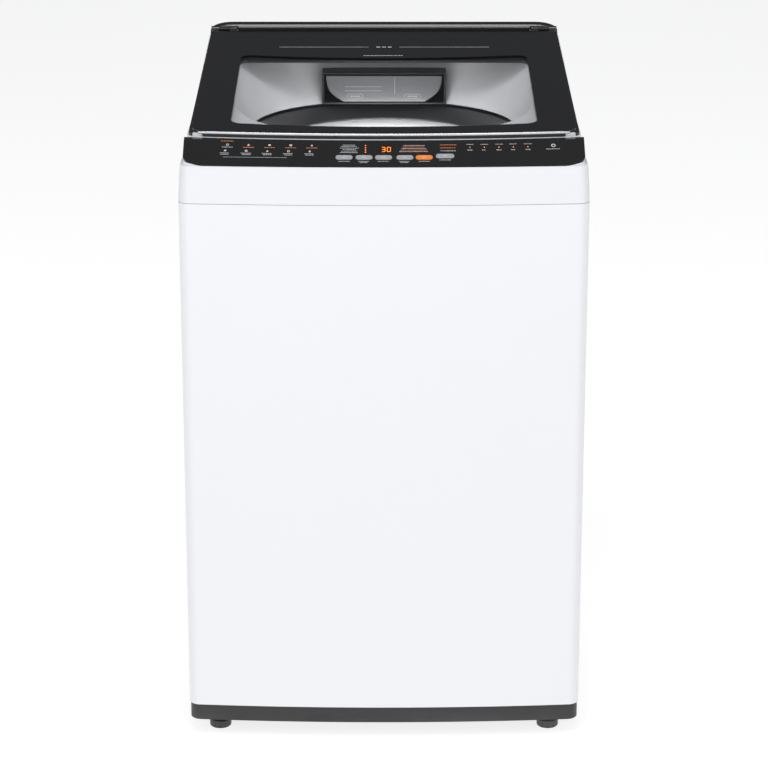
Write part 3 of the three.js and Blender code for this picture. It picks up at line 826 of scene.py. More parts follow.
class Paintbox:
    """Makes each material once and puts finished pieces on their bodies."""

    def __init__(self) -> None:
        """Starts with no material made."""
        self.made: dict[Enum, bpy.types.Material] = {}

    def material(self, look: Enum) -> bpy.types.Material:
        """The material of a finish."""
        if look not in self.made:
            self.made[look] = FINISHES[look].make(look.name.lower())
        return self.made[look]

    def finish(
        self, piece: Piece, look: Enum, body: str, *nodes: str, smooth: float = 32.0,
    ) -> Piece:
        """Gives a piece its material and body.

        Args:
            piece: The finished mesh object.
            look: Its finish.
            body: The CAD body that carries it.
            nodes: The CAD nodes that it stands for.
            smooth: The angle in degrees under which edges are shaded smooth.

        Returns:
            The piece.
        """
        shade(piece, smooth)
        piece.data.materials.clear()
        piece.data.materials.append(self.material(look))
        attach(piece, body)
        if nodes:
            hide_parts(*nodes)
        LOG.info("%s rides on %s with %d faces", piece.name, body, len(piece.data.polygons))
        return piece

    def dress_frame(self) -> None:
        """Gives every CAD node that stays its procedural material."""
        slots = {part["node"]: part["material_slot"] for part in frame["record"]["subparts"]}
        for name, node in frame["nodes"].items():
            material = self.material(Ink.BLACKENED if name.startswith("hinge_pin") else Look(slots[name]))
            node.data.materials.clear()
            node.data.materials.append(material)


ROOT = "cabinet_body"


# ---------------------------------------------------------------- cabinet and base

@dataclass
class Screws:
    """Pan head screws on a face that looks backwards."""

    radius: float = 0.0042
    height: float = 0.0024
    slot: Point = (0.0042, 0.0009)

    def build(self, name: str, places: list[Point], face: float) -> Piece:
        """Makes the screws as one piece.

        Args:
            name: The piece's name.
            places: Across and height of each screw.
            face: The depth of the face that they sit on.

        Returns:
            The screws, with a cross cut in each head.
        """
        rim = self.height * 0.4
        profile = [(0, 0), (self.radius, 0), (self.radius, rim), (0.0026, self.height), (0, self.height)]
        heads = []
        for x, z in places:
            head = turned("head", rounded_profile(profile, 0.0008, 3, closed=False), sides=28)
            for wide, deep in (self.slot, self.slot[::-1]):
                combine(head, block("slot", (-wide / 2, -deep / 2, 0.0014), (wide / 2, deep / 2, 0.01)))
            heads.append(moved(head, at(x, face, z) @ spin(-90, "X")))
        return merged(name, heads)


@dataclass
class CabinetShell:
    """The painted wrap and the zinc coated rear panel."""

    sheet: float = 0.002
    rear_inset: float = 0.0054
    flange: float = 0.014
    rib_count: int = 5
    rib_pitch: float = 0.13
    slot_count: int = 8
    slot_pitch: float = 0.013

    def build(self, paint: Paintbox) -> None:
        """Builds and dresses the wrap, then the rear panel."""
        sheet = self.sheet
        back = SIZES.back - self.rear_inset
        front, corner = SIZES.front, SIZES.corner
        outline = bowed_outline(SIZES.half, front, back, corner, 0.002, SIZES.bow, 48)
        hollow = bowed_outline(
            SIZES.half - sheet, front + sheet, back - sheet, corner - sheet, 0.0012, SIZES.bow, 48,
        )
        wrap = prism("cabinet_wrap", outline, SIZES.cabinet_low, SIZES.seam - SIZES.gap, (hollow,))
        opening = SIZES.half - self.flange
        combine(wrap, block("rear_gap", (-opening, 0.25, 0), (opening, 0.32, 1)))
        paint.finish(soften(wrap, 0.0007, 3), Look.WHITE_PAINT, ROOT, "cabinet")
        self.build_rear(paint)

    def build_rear(self, paint: Paintbox) -> None:
        """Builds the pressed rear panel with its air slots and screws."""
        low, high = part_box("rear_panel")
        face = low.y + self.sheet
        middle = (low.z + high.z) / 2
        plate = prism("rear_panel_sheet", rounded(high.x - low.x, high.z - low.z, 0.006), 0, self.sheet)
        moved(plate, standing(0, face, middle))
        for i in range(self.rib_count):
            rib = prism("rib", rounded(0.44, 0.062, 0.02), -0.002, 0.001)
            z = middle + (i - (self.rib_count - 1) / 2) * self.rib_pitch
            combine(plate, moved(rib, standing(0, face, z)), "UNION")
        for i in range(self.slot_count):
            slot = prism("slot", rounded(0.05, 0.006, 0.0029), -0.02, 0.02)
            combine(plate, moved(slot, standing(0.2, face, low.z + 0.05 + i * self.slot_pitch)))
        combine(plate, across("hole", "y", 0.28, 0.31, DRAIN, 0.015))
        paint.finish(soften(plate, 0.0006, 2, 50), Look.GALVANISED, ROOT, "rear_panel")
        edge = high.x - 0.016
        rows = span(low.z + 0.02, high.z - 0.02, 4)
        places = [(side * edge, z) for side in (-1, 1) for z in rows]
        places += [(x, z) for x in (-0.12, 0.12) for z in (rows[0], rows[-1])]
        paint.finish(Screws().build("rear_panel_screws", places, face), Look.STEEL, ROOT)


@dataclass
class Base:
    """The black base with its skirt, foot bosses and four feet."""

    inset: float = 0.0015
    skirt: float = 0.0045
    deck: float = 0.005
    opening: float = 0.215
    boss: float = 0.020
    flutes: int = 12
    threads: int = 19
    pitch: float = 0.002
    shoulder: float = 0.0253
    stem_top: float = 0.0635

    def feet(self) -> list[tuple[str, str, Vector]]:
        """Each foot's node, body and centre."""
        bodies = {"front_foot_left": "foot_left", "front_foot_right": "foot_right"}
        names = [f"{end}_foot_{side}" for end in ("front", "rear") for side in ("left", "right")]
        return [(name, bodies.get(name, ROOT), (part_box(name)[0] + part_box(name)[1]) / 2) for name in names]

    def build(self, paint: Paintbox) -> None:
        """Builds and dresses the base and the feet."""
        half, front, back = SIZES.half - self.inset, SIZES.front + self.inset, SIZES.back - 0.006
        skirt = self.skirt
        outer = bowed_outline(half, front, back, SIZES.corner, SIZES.corner, SIZES.bow, 48)
        inner = bowed_outline(half - skirt, front + skirt, back - skirt, 0.0135, 0.0135, SIZES.bow, 48)
        low, high = SIZES.base_low, SIZES.base_top
        opening = [(x, y) for x, y, _ in mouth_ring(self.opening, self.opening, 0, 3, 0, 64)]
        base = soften(prism("base_skirt", outer, low, high - 0.001, (inner,)), 0.0012, 3)
        combine(base, prism("deck", outer, high - self.deck, high, (opening,)), "UNION")
        for _, _, spot in self.feet():
            boss = prism("boss", circle(self.boss, 40, spot.x, spot.y), low + 0.001, high - 0.002)
            combine(base, boss, "UNION")
            drill(base, 0.0061, spot.x, spot.y, 0, 0.1)
        paint.finish(base, Look.BLACK_PLASTIC, ROOT, "base_frame")
        for name, body, spot in self.feet():
            self.build_foot(paint, name, body, spot)

    def build_foot(self, paint: Paintbox, name: str, body: str, spot: Vector) -> None:
        """Builds one foot: a fluted pad under a threaded stem."""
        pad = [
            (0, 0), (0.0145, 0), (0.0165, 0.002), (0.0165, 0.0125), (0.0125, 0.016), (0.0118, 0.0252),
            (0, 0.0252),
        ]
        foot = turned("pad", rounded_profile(pad, 0.0018, 4, closed=False), sides=72)
        for i in range(self.flutes):
            drill(foot, 0.0016, *polar(0.0172, 360 * i / self.flutes), 0.003, 0.012, 12)
        thread = [(0, self.shoulder)]
        for i in range(self.threads):
            z = self.shoulder + i * self.pitch
            thread += [(0.0048, z), (0.0055, z + self.pitch / 2)]
        thread += [(0.0048, self.stem_top), (0, self.stem_top)]
        stem = turned("stem", thread, sides=32)
        whole = moved(merged(f"{name}_pad", [foot, stem]), at(spot.x, spot.y, 0))
        paint.finish(whole, Look.FOOT, body, name)


# ---------------------------------------------------------------- top cover and control panel

def above_deck(shift: float = 0.0) -> Piece:
    """A block over the sloping deck, shifted by a height normal to it."""
    cutter = block("above_deck", (-0.4, -0.75, shift - LID.drop), (0.4, 0.15, shift + 0.3))
    return moved(cutter, LID.matrix)


def on_panel(name: str, outline: list[Point], x: float, up: float, low: float, high: float) -> Piece:
    """A prism that stands on the control panel's face."""
    return moved(prism(name, outline, low, high), PANEL.matrix(x, up))


@dataclass
class TopCover:
    """The white collar and deck, with the funnel down to the tub."""

    wall: float = 0.004
    slope_wall: float = 0.007
    lead: float = 0.0006

    def rings(self, inset: float, slope_inset: float, low: float) -> list[list]:
        """The cover's outline at rising heights.

        Args:
            inset: How far all sides are set in.
            slope_inset: How much further the sloping front is set in.
            low: The height of the lowest ring.

        Returns:
            The rings, lowest first.
        """
        front, foot, head = SIZES.front, PANEL.low, PANEL.high
        levels = [
            (low, SIZES.half - self.lead, front + self.lead),
            (SIZES.seam + self.lead, SIZES.half, front + 0.0001),
            (0.850, 0.2943, front + 0.0036),
            (0.875, 0.2929, front + 0.0086),
            (foot.z, 0.2916, foot.y - 0.0012),
            (foot.z + 0.0005, PANEL.half, foot.y + 0.0002 + slope_inset),
            (head.z + 0.004, 0.2844, head.y + 0.0065 + slope_inset),
            (head.z + 0.010, 0.2826, head.y + 0.007 + slope_inset),
            (SIZES.top + 0.008, 0.281, head.y + 0.008 + slope_inset),
        ]
        corner = SIZES.corner - inset
        rings = []
        for z, half, edge in levels:
            outline = bowed_outline(
                half - inset, edge + inset, SIZES.back - inset, corner, corner, SIZES.bow, 48,
            )
            rings.append([(x, y, z) for x, y in outline])
        return rings

    def funnel(self, grow: float) -> Piece:
        """The loading funnel, from the round tub mouth to the squared deck opening."""
        low = SIZES.mouth_low - (0 if grow > 0 else 0.003)
        stages = [
            (SIZES.mouth, SIZES.mouth, 0, 2, low),
            (0.205, 0.2035, -0.001, 2.15, 0.890),
            (0.213, 0.2065, -0.002, 2.6, 0.906),
            (0.223, 0.2095, -0.003, 3.4, 0.928),
            (0.230, 0.212, -0.004, 4.5, 0.948),
            (0.236, 0.214, -0.004, 6, SIZES.top + 0.02),
        ]
        return loft("funnel", [mouth_ring(a + grow, b + grow, *rest) for a, b, *rest in stages])

    def build(self, paint: Paintbox) -> None:
        """Builds and dresses the cover."""
        cover = loft("top_cover_shell", self.rings(0, 0, SIZES.seam))
        combine(cover, above_deck())
        hollow = loft("hollow", self.rings(self.wall, self.slope_wall, SIZES.seam - 0.005))
        combine(hollow, above_deck(-self.wall))
        combine(hollow, self.funnel(self.wall))
        combine(cover, hollow)
        combine(cover, self.funnel(0))
        combine(cover, ControlPanel().body("seat", SIZES.gap, PANEL.thick + SIZES.gap))
        combine(cover, on_panel("board_hole", rectangle(0.19, 0.034), 0.014, 0.026, -0.02, 0.005))
        combine(cover, block("dispenser_hole", (-0.0986, 0.14, 0.87), (0.0986, 0.266, 0.9316)))
        for spot, radius in ((INLET, 0.014), (GLAND, 0.0096)):
            combine(cover, across("service_hole", "y", 0.29, 0.31, spot, radius))
        combine(cover, block("hinge_bay", (-0.3, LID.hinge.y - 0.005, 0.955), (0.3, 0.31, 1.01)))
        paint.finish(cover, Look.WHITE_PLASTIC, ROOT, "top_cover", smooth=28)


@dataclass(frozen=True)
class Key:
    """One push button: its node and body, its place on the panel and its size."""

    node: str
    body: str
    x: float
    up: float
    width: float
    look: Look = Look.KEY_GREY


def cad_keys() -> list[Key]:
    """The buttons, with their places and widths read from the frame."""
    keys = []
    for name, nodes in frame["record"]["behaviour"]["bodies"].items():
        node = nodes[0]
        if node.startswith("button_"):
            low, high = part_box(nodes[0])
            up = 0.023 if node == "button_delay" else 0.0204
            look = Look.KEY_ORANGE if node == "button_start" else Look.KEY_GREY
            keys.append(Key(node, name, (low.x + high.x) / 2, up, high.x - low.x, look))
    return keys


def pill(width: float, height: float, steps: int = 10) -> list[Point]:
    """A bar with round ends."""
    reach = (width - height) / 2
    return [*arc(reach, 0, height / 2, -90, 90, steps), *arc(-reach, 0, height / 2, 90, 270, steps)]


@dataclass
class ControlPanel:
    """The black panel, its keys, its display and the marks printed on it."""

    key_height: float = 0.0086
    key_gap: float = 0.0007
    ink: float = 0.00008
    ink_low: float = 0.00001
    display: Point = (0.003, 0.037)
    stretches: int = 40
    columns: int = 5
    seed: int = 7

    def body(self, name: str, grow: float, thick: float) -> Piece:
        """The panel's strip, bent along the bow, with rounded lower corners.

        Args:
            name: The piece's name.
            grow: How far the strip is grown for a seat cut.
            thick: Its depth below the face.

        Returns:
            The strip, which runs on up past the deck.
        """
        half = PANEL.half + grow
        run = PANEL.half - PANEL.corner_across
        ends = [run + PANEL.corner_across * math.sin(math.pi / 2 * i / 14) for i in range(1, 14)]
        stations = [-half, *[-x for x in reversed(ends)], *span(-run, run, self.stretches), *ends, half]
        head = PANEL.length + 0.014
        rings = []
        for x in stations:
            over = min(max(abs(x) - run, 0) / PANEL.corner_across, 1)
            rise = PANEL.corner_up * (1 - math.sqrt(1 - over * over)) - grow
            corners = ((rise, -thick), (head, -thick), (head, grow), (rise, grow))
            rings.append([PANEL.at(x, up, height) for up, height in corners])
        return loft(name, rings)

    def build(self, paint: Paintbox) -> None:
        """Builds and dresses the panel with everything on it."""
        panel = self.body("control_panel_skin", 0, PANEL.thick)
        combine(panel, above_deck(-SIZES.gap))
        soften(panel, 0.0009, 3, 50)
        keys = cad_keys()
        for key in keys:
            hole = pill(key.width + self.key_gap, self.key_height + self.key_gap)
            combine(panel, on_panel("hole", hole, key.x, key.up, -0.009, 0.009))
        combine(panel, on_panel("hole", rounded(0.0224, 0.0154, 0.001), *self.display, -0.009, 0.009))
        paint.finish(panel, Look.GLOSS_BLACK, ROOT, "control_panel", smooth=25)
        for key in keys:
            self.build_key(paint, key)
        lens = on_panel("display_lens", rounded(0.022, 0.015, 0.0009), *self.display, -PANEL.thick, 0)
        paint.finish(soften(lens, 0.0002, 2), Look.LENS, ROOT, "display_window")
        self.build_digits(paint)
        self.build_marks(paint)

    def build_key(self, paint: Paintbox, key: Key) -> None:
        """Builds a key cap with a rounded rim, a shallow dish and a small mark."""
        levels = (
            (-0.010, 0), (0.0004, 0), (0.0008, 0.00012), (0.0011, 0.0004), (0.0012, 0.0009),
            (0.0010, 0.0018), (0.0009, 0.0030),
        )
        rings = []
        for z, inset in levels:
            outline = pill(key.width - 2 * inset, self.key_height - 2 * inset)
            rings.append([(x, y, z) for x, y in outline])
        cap = moved(loft(f"{key.node}_cap", rings), PANEL.matrix(key.x, key.up))
        paint.finish(cap, key.look, key.body, key.node, smooth=40)
        dash = rounded(0.006, 0.0011, 0.0004)
        mark = on_panel(f"{key.node}_mark", dash, key.x, key.up, 0.00088, 0.00098)
        paint.finish(mark, Ink.WHITE, key.body)

    def build_digits(self, paint: Paintbox) -> None:
        """Builds the two lit seven segment digits behind the lens face."""
        wide, tall, line = 0.0046, 0.0088, 0.0011
        flat, upright = (wide, line), (line, tall / 2)
        strokes = {
            "a": (0, tall / 2, *flat), "g": (0, 0, *flat), "d": (0, -tall / 2, *flat),
            "f": (-wide / 2, tall / 4, *upright), "b": (wide / 2, tall / 4, *upright),
            "e": (-wide / 2, -tall / 4, *upright), "c": (wide / 2, -tall / 4, *upright),
        }
        parts = []
        for x, shown in ((-0.0009, "abgcd"), (0.0069, "abcdef")):
            for name in shown:
                dx, dy, width, height = strokes[name]
                sizes = [max(size - line * 0.3, line * 0.8) for size in (width, height)]
                outline = rounded(*sizes, line * 0.35, 2)
                parts.append(on_panel("stroke", outline, x + dx, self.display[1] + dy, 0.00002, self.ink))
        paint.finish(merged("display_digits", parts), Ink.LIT, ROOT)

    def mark(self, outline: list[Point], x: float, up: float) -> Piece:
        """One printed mark as a thin film on the panel."""
        return on_panel("mark", outline, x, up, self.ink_low, self.ink)

    def caption(self, draw: random.Random, x: float, up: float, width: float, size: float = 0.0016) -> list:
        """A row of short dashes that stands for a caption."""
        dashes = []
        left, end = x - width / 2, x + width / 2
        while left < end - size:
            length = min(size * draw.uniform(0.7, 2.2), end - left)
            dashes.append(self.mark(rectangle(length, size * 0.62), left + length / 2, up))
            left += length + size * 0.45
        return dashes

    def glyph(self, kind: int, x: float, up: float, size: float = 0.0042) -> list:
        """A small plain symbol: a ring, a drop, a square, three bars or a triangle."""
        if kind == 0:
            ring = prism("mark", circle(size / 2, 20), self.ink_low, self.ink, (circle(size * 0.3, 20),))
            return [moved(ring, PANEL.matrix(x, up))]
        if kind == 1:
            return [self.mark([*arc(0, -size * 0.12, size * 0.36, -225, 45, 12), (0, size * 0.55)], x, up)]
        if kind == 2:
            return [self.mark(rounded(size * 0.8, size * 0.7, size * 0.12, 2), x, up)]
        if kind == 3:
            line = rectangle(size * 0.9, size * 0.22)
            return [self.mark(line, x, up + k * size * 0.3) for k in (-1, 0, 1)]
        foot = size * 0.45
        return [self.mark([(-foot, -size * 0.35), (foot, -size * 0.35), (0, foot)], x, up)]

    def build_marks(self, paint: Paintbox) -> None:
        """Prints the rows of symbols, captions and lamps on the panel."""
        draw = random.Random(self.seed)
        white: list[Piece] = []
        orange: list[Piece] = []
        lit: list[Piece] = []
        for column in range(self.columns):
            x = -0.2245 + column * 0.0303
            white += self.glyph(column, x, 0.0445)
            (orange if column else white).extend(self.caption(draw, x, 0.0395, 0.0155))
            x -= 0.003
            white += self.glyph((column + 2) % self.columns, x, 0.0325)
            white += self.caption(draw, x, 0.0276, 0.0150)
            white += self.caption(draw, x, 0.0249, 0.0120)
        orange += self.caption(draw, -0.2245, 0.0518, 0.019)
        white += self.caption(draw, -0.184, 0.0195, 0.092, 0.0009)
        for row in range(6):
            white += self.caption(draw, -0.0495, 0.0305 + row * 0.0030, 0.0270 - (row % 3) * 0.004, 0.0014)
        lit += [self.mark(circle(0.00095, 14), -0.0265, 0.0315 + row * 0.0044) for row in range(4)]
        for row in range(5):
            text = self.caption(draw, 0.0430, 0.0325 + row * 0.0031, 0.0420 - row * 0.003, 0.0014)
            (orange if row in (1, 3) else white).extend(text)
        for row, ink in enumerate((white, orange, orange)):
            ink.extend(self.caption(draw, 0.0925, 0.0338 + row * 0.0060, 0.0240, 0.0017))
        for key in cad_keys():
            white += self.caption(draw, key.x, key.up - 0.0076, 0.0160, 0.0014)
            if key.node in ("button_program", "button_wash_time"):
                white += self.caption(draw, key.x, key.up - 0.0100, 0.0120, 0.0013)
        for column in range(self.columns):
            x = 0.1230 + column * 0.0208
            white += self.caption(draw, x, 0.0465, 0.0110, 0.0014)
            lit.append(self.mark(circle(0.0008, 14), x, 0.0405))
            white += self.caption(draw, x, 0.0350, 0.0070, 0.0019)
        white += self.glyph(0, 0.243, 0.0425, 0.0065)
        white += self.caption(draw, 0.243, 0.0355, 0.0220, 0.0016)
        paint.finish(merged("panel_marks_white", white), Ink.WHITE, ROOT)
        paint.finish(merged("panel_marks_orange", orange), Ink.ORANGE, ROOT)
        paint.finish(merged("panel_lamps", lit), Ink.LIT, ROOT)


# ---------------------------------------------------------------- lid and rear cover

@dataclass
class Lid:
    """The glass lid: its pane, frame, bright front strip and bumpers."""

    frame_low: float = -0.0046
    trim_half: float = 0.268
    strip_deep: float = 0.0044
    strip_middle: float = 0.0023
    strip_ends: float = 0.82
    bumper: float = 0.269
    ease: float = 0.0004
    seed: int = 11

    def outline(self, inset: float, rear: float, corner: float) -> list[Point]:
        """The lid's outline in its plane.

        Args:
            inset: How far the sides and front are set in.
            rear: Where the rear edge lies.
            corner: The front corners' radius.

        Returns:
            The outline, with a bowed front edge.
        """
        front = -LID.length + inset
        points = bowed_outline(LID.half_front - inset, front, rear, corner, 0.003, LID.bow, 40)
        taper = (LID.half_front - LID.half_rear) / LID.length
        return [(x - math.copysign(taper * (y + LID.length), x) if x else x, y) for x, y in points]

    def window(self, grow: float) -> list[Point]:
        """The opening under the window, in the lid's plane, with a bowed front edge."""
        half, front, rear = LID.window_half + grow, -LID.window_front - grow, -LID.window_rear + grow
        return bowed_outline(half, front, rear, 0.018, 0.014, LID.window_bow, 32)

    def build(self, paint: Paintbox) -> None:
        """Builds and dresses the lid."""
        pane = prism("lid_pane", self.outline(0.005, -0.010, 0.014), -LID.glass - 0.0003, -0.0003)
        paint.finish(moved(soften(pane, 0.0012, 4, 50), LID.matrix), Look.GLASS, "lid", "lid_glass")
        self.build_print(paint)
        self.build_trim(paint)
        self.build_frame(paint)
        ease = Vector((self.ease, self.ease, 0))
        for name in ("lid_bumper_left", "lid_bumper_right"):
            low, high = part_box(name)
            bumper = soften(block(f"{name}_pad", low + ease, high - ease), 0.0009, 3)
            paint.finish(bumper, Ink.RING, "lid", name)

    def build_frame(self, paint: Paintbox) -> None:
        """Builds the moulded frame under the pane, with a lip round the window and the hinge ears."""
        under = SIZES.gap - LID.drop
        outline = self.outline(0.0006, -0.003, 0.0115)
        moulding = prism("lid_moulding", outline, under, self.frame_low, (self.window(0),))
        soften(moulding, 0.0009, 3, 50)
        outline = self.outline(0.012, -0.016, 0.010)
        combine(moulding, prism("gutter", outline, under - 0.001, under + 0.0012, (self.window(0.006),)))
        for side in (-1, 1):
            start, end = sorted((side * 0.251, side * 0.300))
            combine(moulding, block("corner", (start, -0.011, -0.02), (end, 0.005, 0.005)))
            start, end = sorted((side * 0.238, side * 0.248))
            combine(moulding, block("ear", (start, -0.009, under), (end, 0, 0)), "UNION")
            combine(moulding, across("eye", "x", start, end, (0, 0), 0.0042), "UNION")
            combine(moulding, across("bore", "x", start - 0.001, end + 0.001, (0, 0), 0.003))
            place = side * self.bumper
            front = LID.set_back(place) - LID.length
            seat = block("seat", (place - 0.008, front - 0.009, -0.02), (place + 0.008, front + 0.010, 0))
            combine(moulding, seat)
        paint.finish(moved(moulding, LID.matrix), Look.BLACK_PLASTIC, "lid", "lid_frame", smooth=40)

    def build_print(self, paint: Paintbox) -> None:
        """Prints fine dashes near the rear edge of the pane."""
        draw = random.Random(self.seed)
        spots = [(side * 0.095, -0.100, 0.142, 0.0011) for side in (-1, 1)]
        spots += [(step * 0.009, -0.100, 0.006, 0.0040) for step in (-1, 0, 1)]
        left = -0.032
        while left < 0.030:
            length = draw.uniform(0.0025, 0.0055)
            spots.append((left + length / 2, -0.1455, length, 0.0024))
            left += length + 0.0012
        dashes = []
        for x, y, width, depth in spots:
            outline = [(x + u, y + v) for u, v in rectangle(width, depth)]
            dashes.append(prism("dash", outline, -0.0002, -0.00012))
        paint.finish(moved(merged("lid_print", dashes), LID.matrix), Ink.WHITE, "lid")

    def build_trim(self, paint: Paintbox) -> None:
        """Builds the bright strip along the lid's front edge, a little smaller at its ends."""
        middle = self.strip_middle
        section = rounded(self.strip_deep, 0.004, 0.0013, 4)
        rings = []
        for x in span(-self.trim_half, self.trim_half, 60):
            front = -LID.length + LID.set_back(x)
            size = 1.0 if abs(x) < self.trim_half - 0.001 else self.strip_ends
            rings.append([(x, front + middle + u * size, v * size - middle) for u, v in section])
        trim = moved(loft("lid_strip", rings), LID.matrix)
        paint.finish(trim, Look.CHROME, "lid", "lid_trim", smooth=50)


@dataclass
class RearCover:
    """The black strip behind the lid, with its hinge bosses."""

    half: float = 0.281
    end: float = 0.036
    fall: float = 0.013
    low: float = 0.9554
    boss: float = 0.0046
    crown: float = 0.006

    def stations(self) -> list[Point]:
        """Places across with the fall of the top there, which rounds both ends."""
        run = self.half - self.end
        angles = [math.pi / 2 * i / 16 for i in range(17)]
        ends = [(run + self.end * math.sin(a), self.fall * (1 - math.cos(a))) for a in angles]
        return [*[(-x, drop) for x, drop in reversed(ends)], *ends]

    def build(self, paint: Paintbox) -> None:
        """Builds the strip, then its bosses and the notches for the lid's ears."""
        front, back, low = LID.hinge.y - self.boss, SIZES.back, self.low
        brow = ((0.0125, 0.0004), (0.0092, 0.0030), (0.0071, 0.0070))
        rings = []
        for x, drop in self.stations():
            top = SIZES.top - drop
            section = [(front, low), (back, low)]
            section += arc(back - self.crown, top - self.crown, self.crown, 0, 90)
            section += [(front + deep, top - fall) for deep, fall in brow]
            section += [(front + 0.0071, low + 0.003), (front, low + 0.003)]
            rings.append([(x, y, z) for y, z in section])
        strip = soften(loft("rear_cover_strip", rings), 0.0008, 2, 60)
        _, y, z = LID.hinge
        for side in (-1, 1):
            start, end = sorted((side * 0.267, side * 0.279))
            combine(strip, block("boss_web", (start, front, low), (end, y + 0.004, z)), "UNION")
            combine(strip, across("boss", "x", start, end, (y, z), self.boss), "UNION")
            combine(strip, across("bore", "x", start - 0.001, end + 0.001, (y, z), 0.0029))
            start, end = sorted((side * 0.236, side * 0.250))
            combine(strip, across("notch", "x", start, end, (y, z), 0.0054))
        paint.finish(strip, Look.GLOSS_BLACK, ROOT, "rear_cover", smooth=40)


# ---------------------------------------------------------------- dispenser and services

@dataclass
class Dispenser:
    """The detergent housing and its smoked drawer."""

    front: float = 0.166
    rear: float = 0.257
    wall: float = 0.0035
    end_wall: float = 0.004
    label_height: float = 0.8932

    def outline(self, inset: float, top: float) -> list[Point]:
        """The drawer's bowl section: across and height, wide at the top."""
        half = 0.092 - inset
        points = [
            (half, top), (half - 0.0012, 0.912), (half - 0.006, 0.9),
            (half - 0.0165, 0.8905 + inset * 0.4), (half - 0.028, 0.884 + inset),
        ]
        smooth = rounded_profile(points, 0.008, 5, closed=False)
        return [*smooth, *[(-x, z) for x, z in reversed(smooth)]]

    def section(self, name: str, outline: list[Point], inset: float) -> Piece:
        """A prism along the drawer's depth, set in at both ends."""
        ends = (self.front + inset, self.rear - inset)
        return loft(name, [[(x, y, z) for x, z in outline] for y in ends])

    def build(self, paint: Paintbox) -> None:
        """Builds and dresses the housing and the drawer."""
        low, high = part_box("dispenser_housing")
        housing = soften(block("dispenser_case", low, high), 0.0022, 4)
        start, end = (-0.095, low.y - 0.01, low.z + 0.003), (0.095, high.y - 0.003, high.z - 0.003)
        combine(housing, soften(block("inner", start, end), 0.0015, 2))
        paint.finish(housing, Look.BLACK_PLASTIC, ROOT, "dispenser_housing")
        body = soften(self.section("drawer_bowl", self.outline(0, 0.926), 0), 0.0016, 3, 40)
        for name, start, end in (("left_bay", 0.0137, 0.2), ("right_bay", -0.2, 0.0203)):
            bay = self.section(name, self.outline(self.wall, 0.94), self.end_wall)
            combine(bay, block("beyond", (start, 0.1, 0.8), (end, 0.3, 1.0)))
            combine(body, soften(bay, 0.003, 3, 40))
        paint.finish(body, Look.SMOKE, "drawer", "detergent_drawer")
        self.build_labels(paint)

    def build_labels(self, paint: Paintbox) -> None:
        """Builds the plain label plates and lines on the drawer's front."""
        marks = []
        for x, width in ((-0.046, 0.026), (0.045, 0.027)):
            plate = prism("plate", pill(width, 0.0074), 0, 0.0003, (pill(width - 0.0014, 0.0060),))
            marks.append((plate, x, self.label_height))
            for step in (-1, 0, 1):
                dash = prism("dash", rectangle(0.0045, 0.0018), 0, 0.0003)
                marks.append((dash, x + step * 0.0056, self.label_height))
        marks.append((prism("line", rectangle(0.0009, 0.026), 0, 0.0004), 0.017, 0.9105))
        marks += [(prism("line", rectangle(0.058, 0.0007), 0, 0.0003), -0.033, z) for z in (0.9020, 0.9085)]
        plates = [moved(mark, standing(x, self.front, z)) for mark, x, z in marks]
        paint.finish(merged("drawer_labels", plates), Ink.PALE, "drawer")


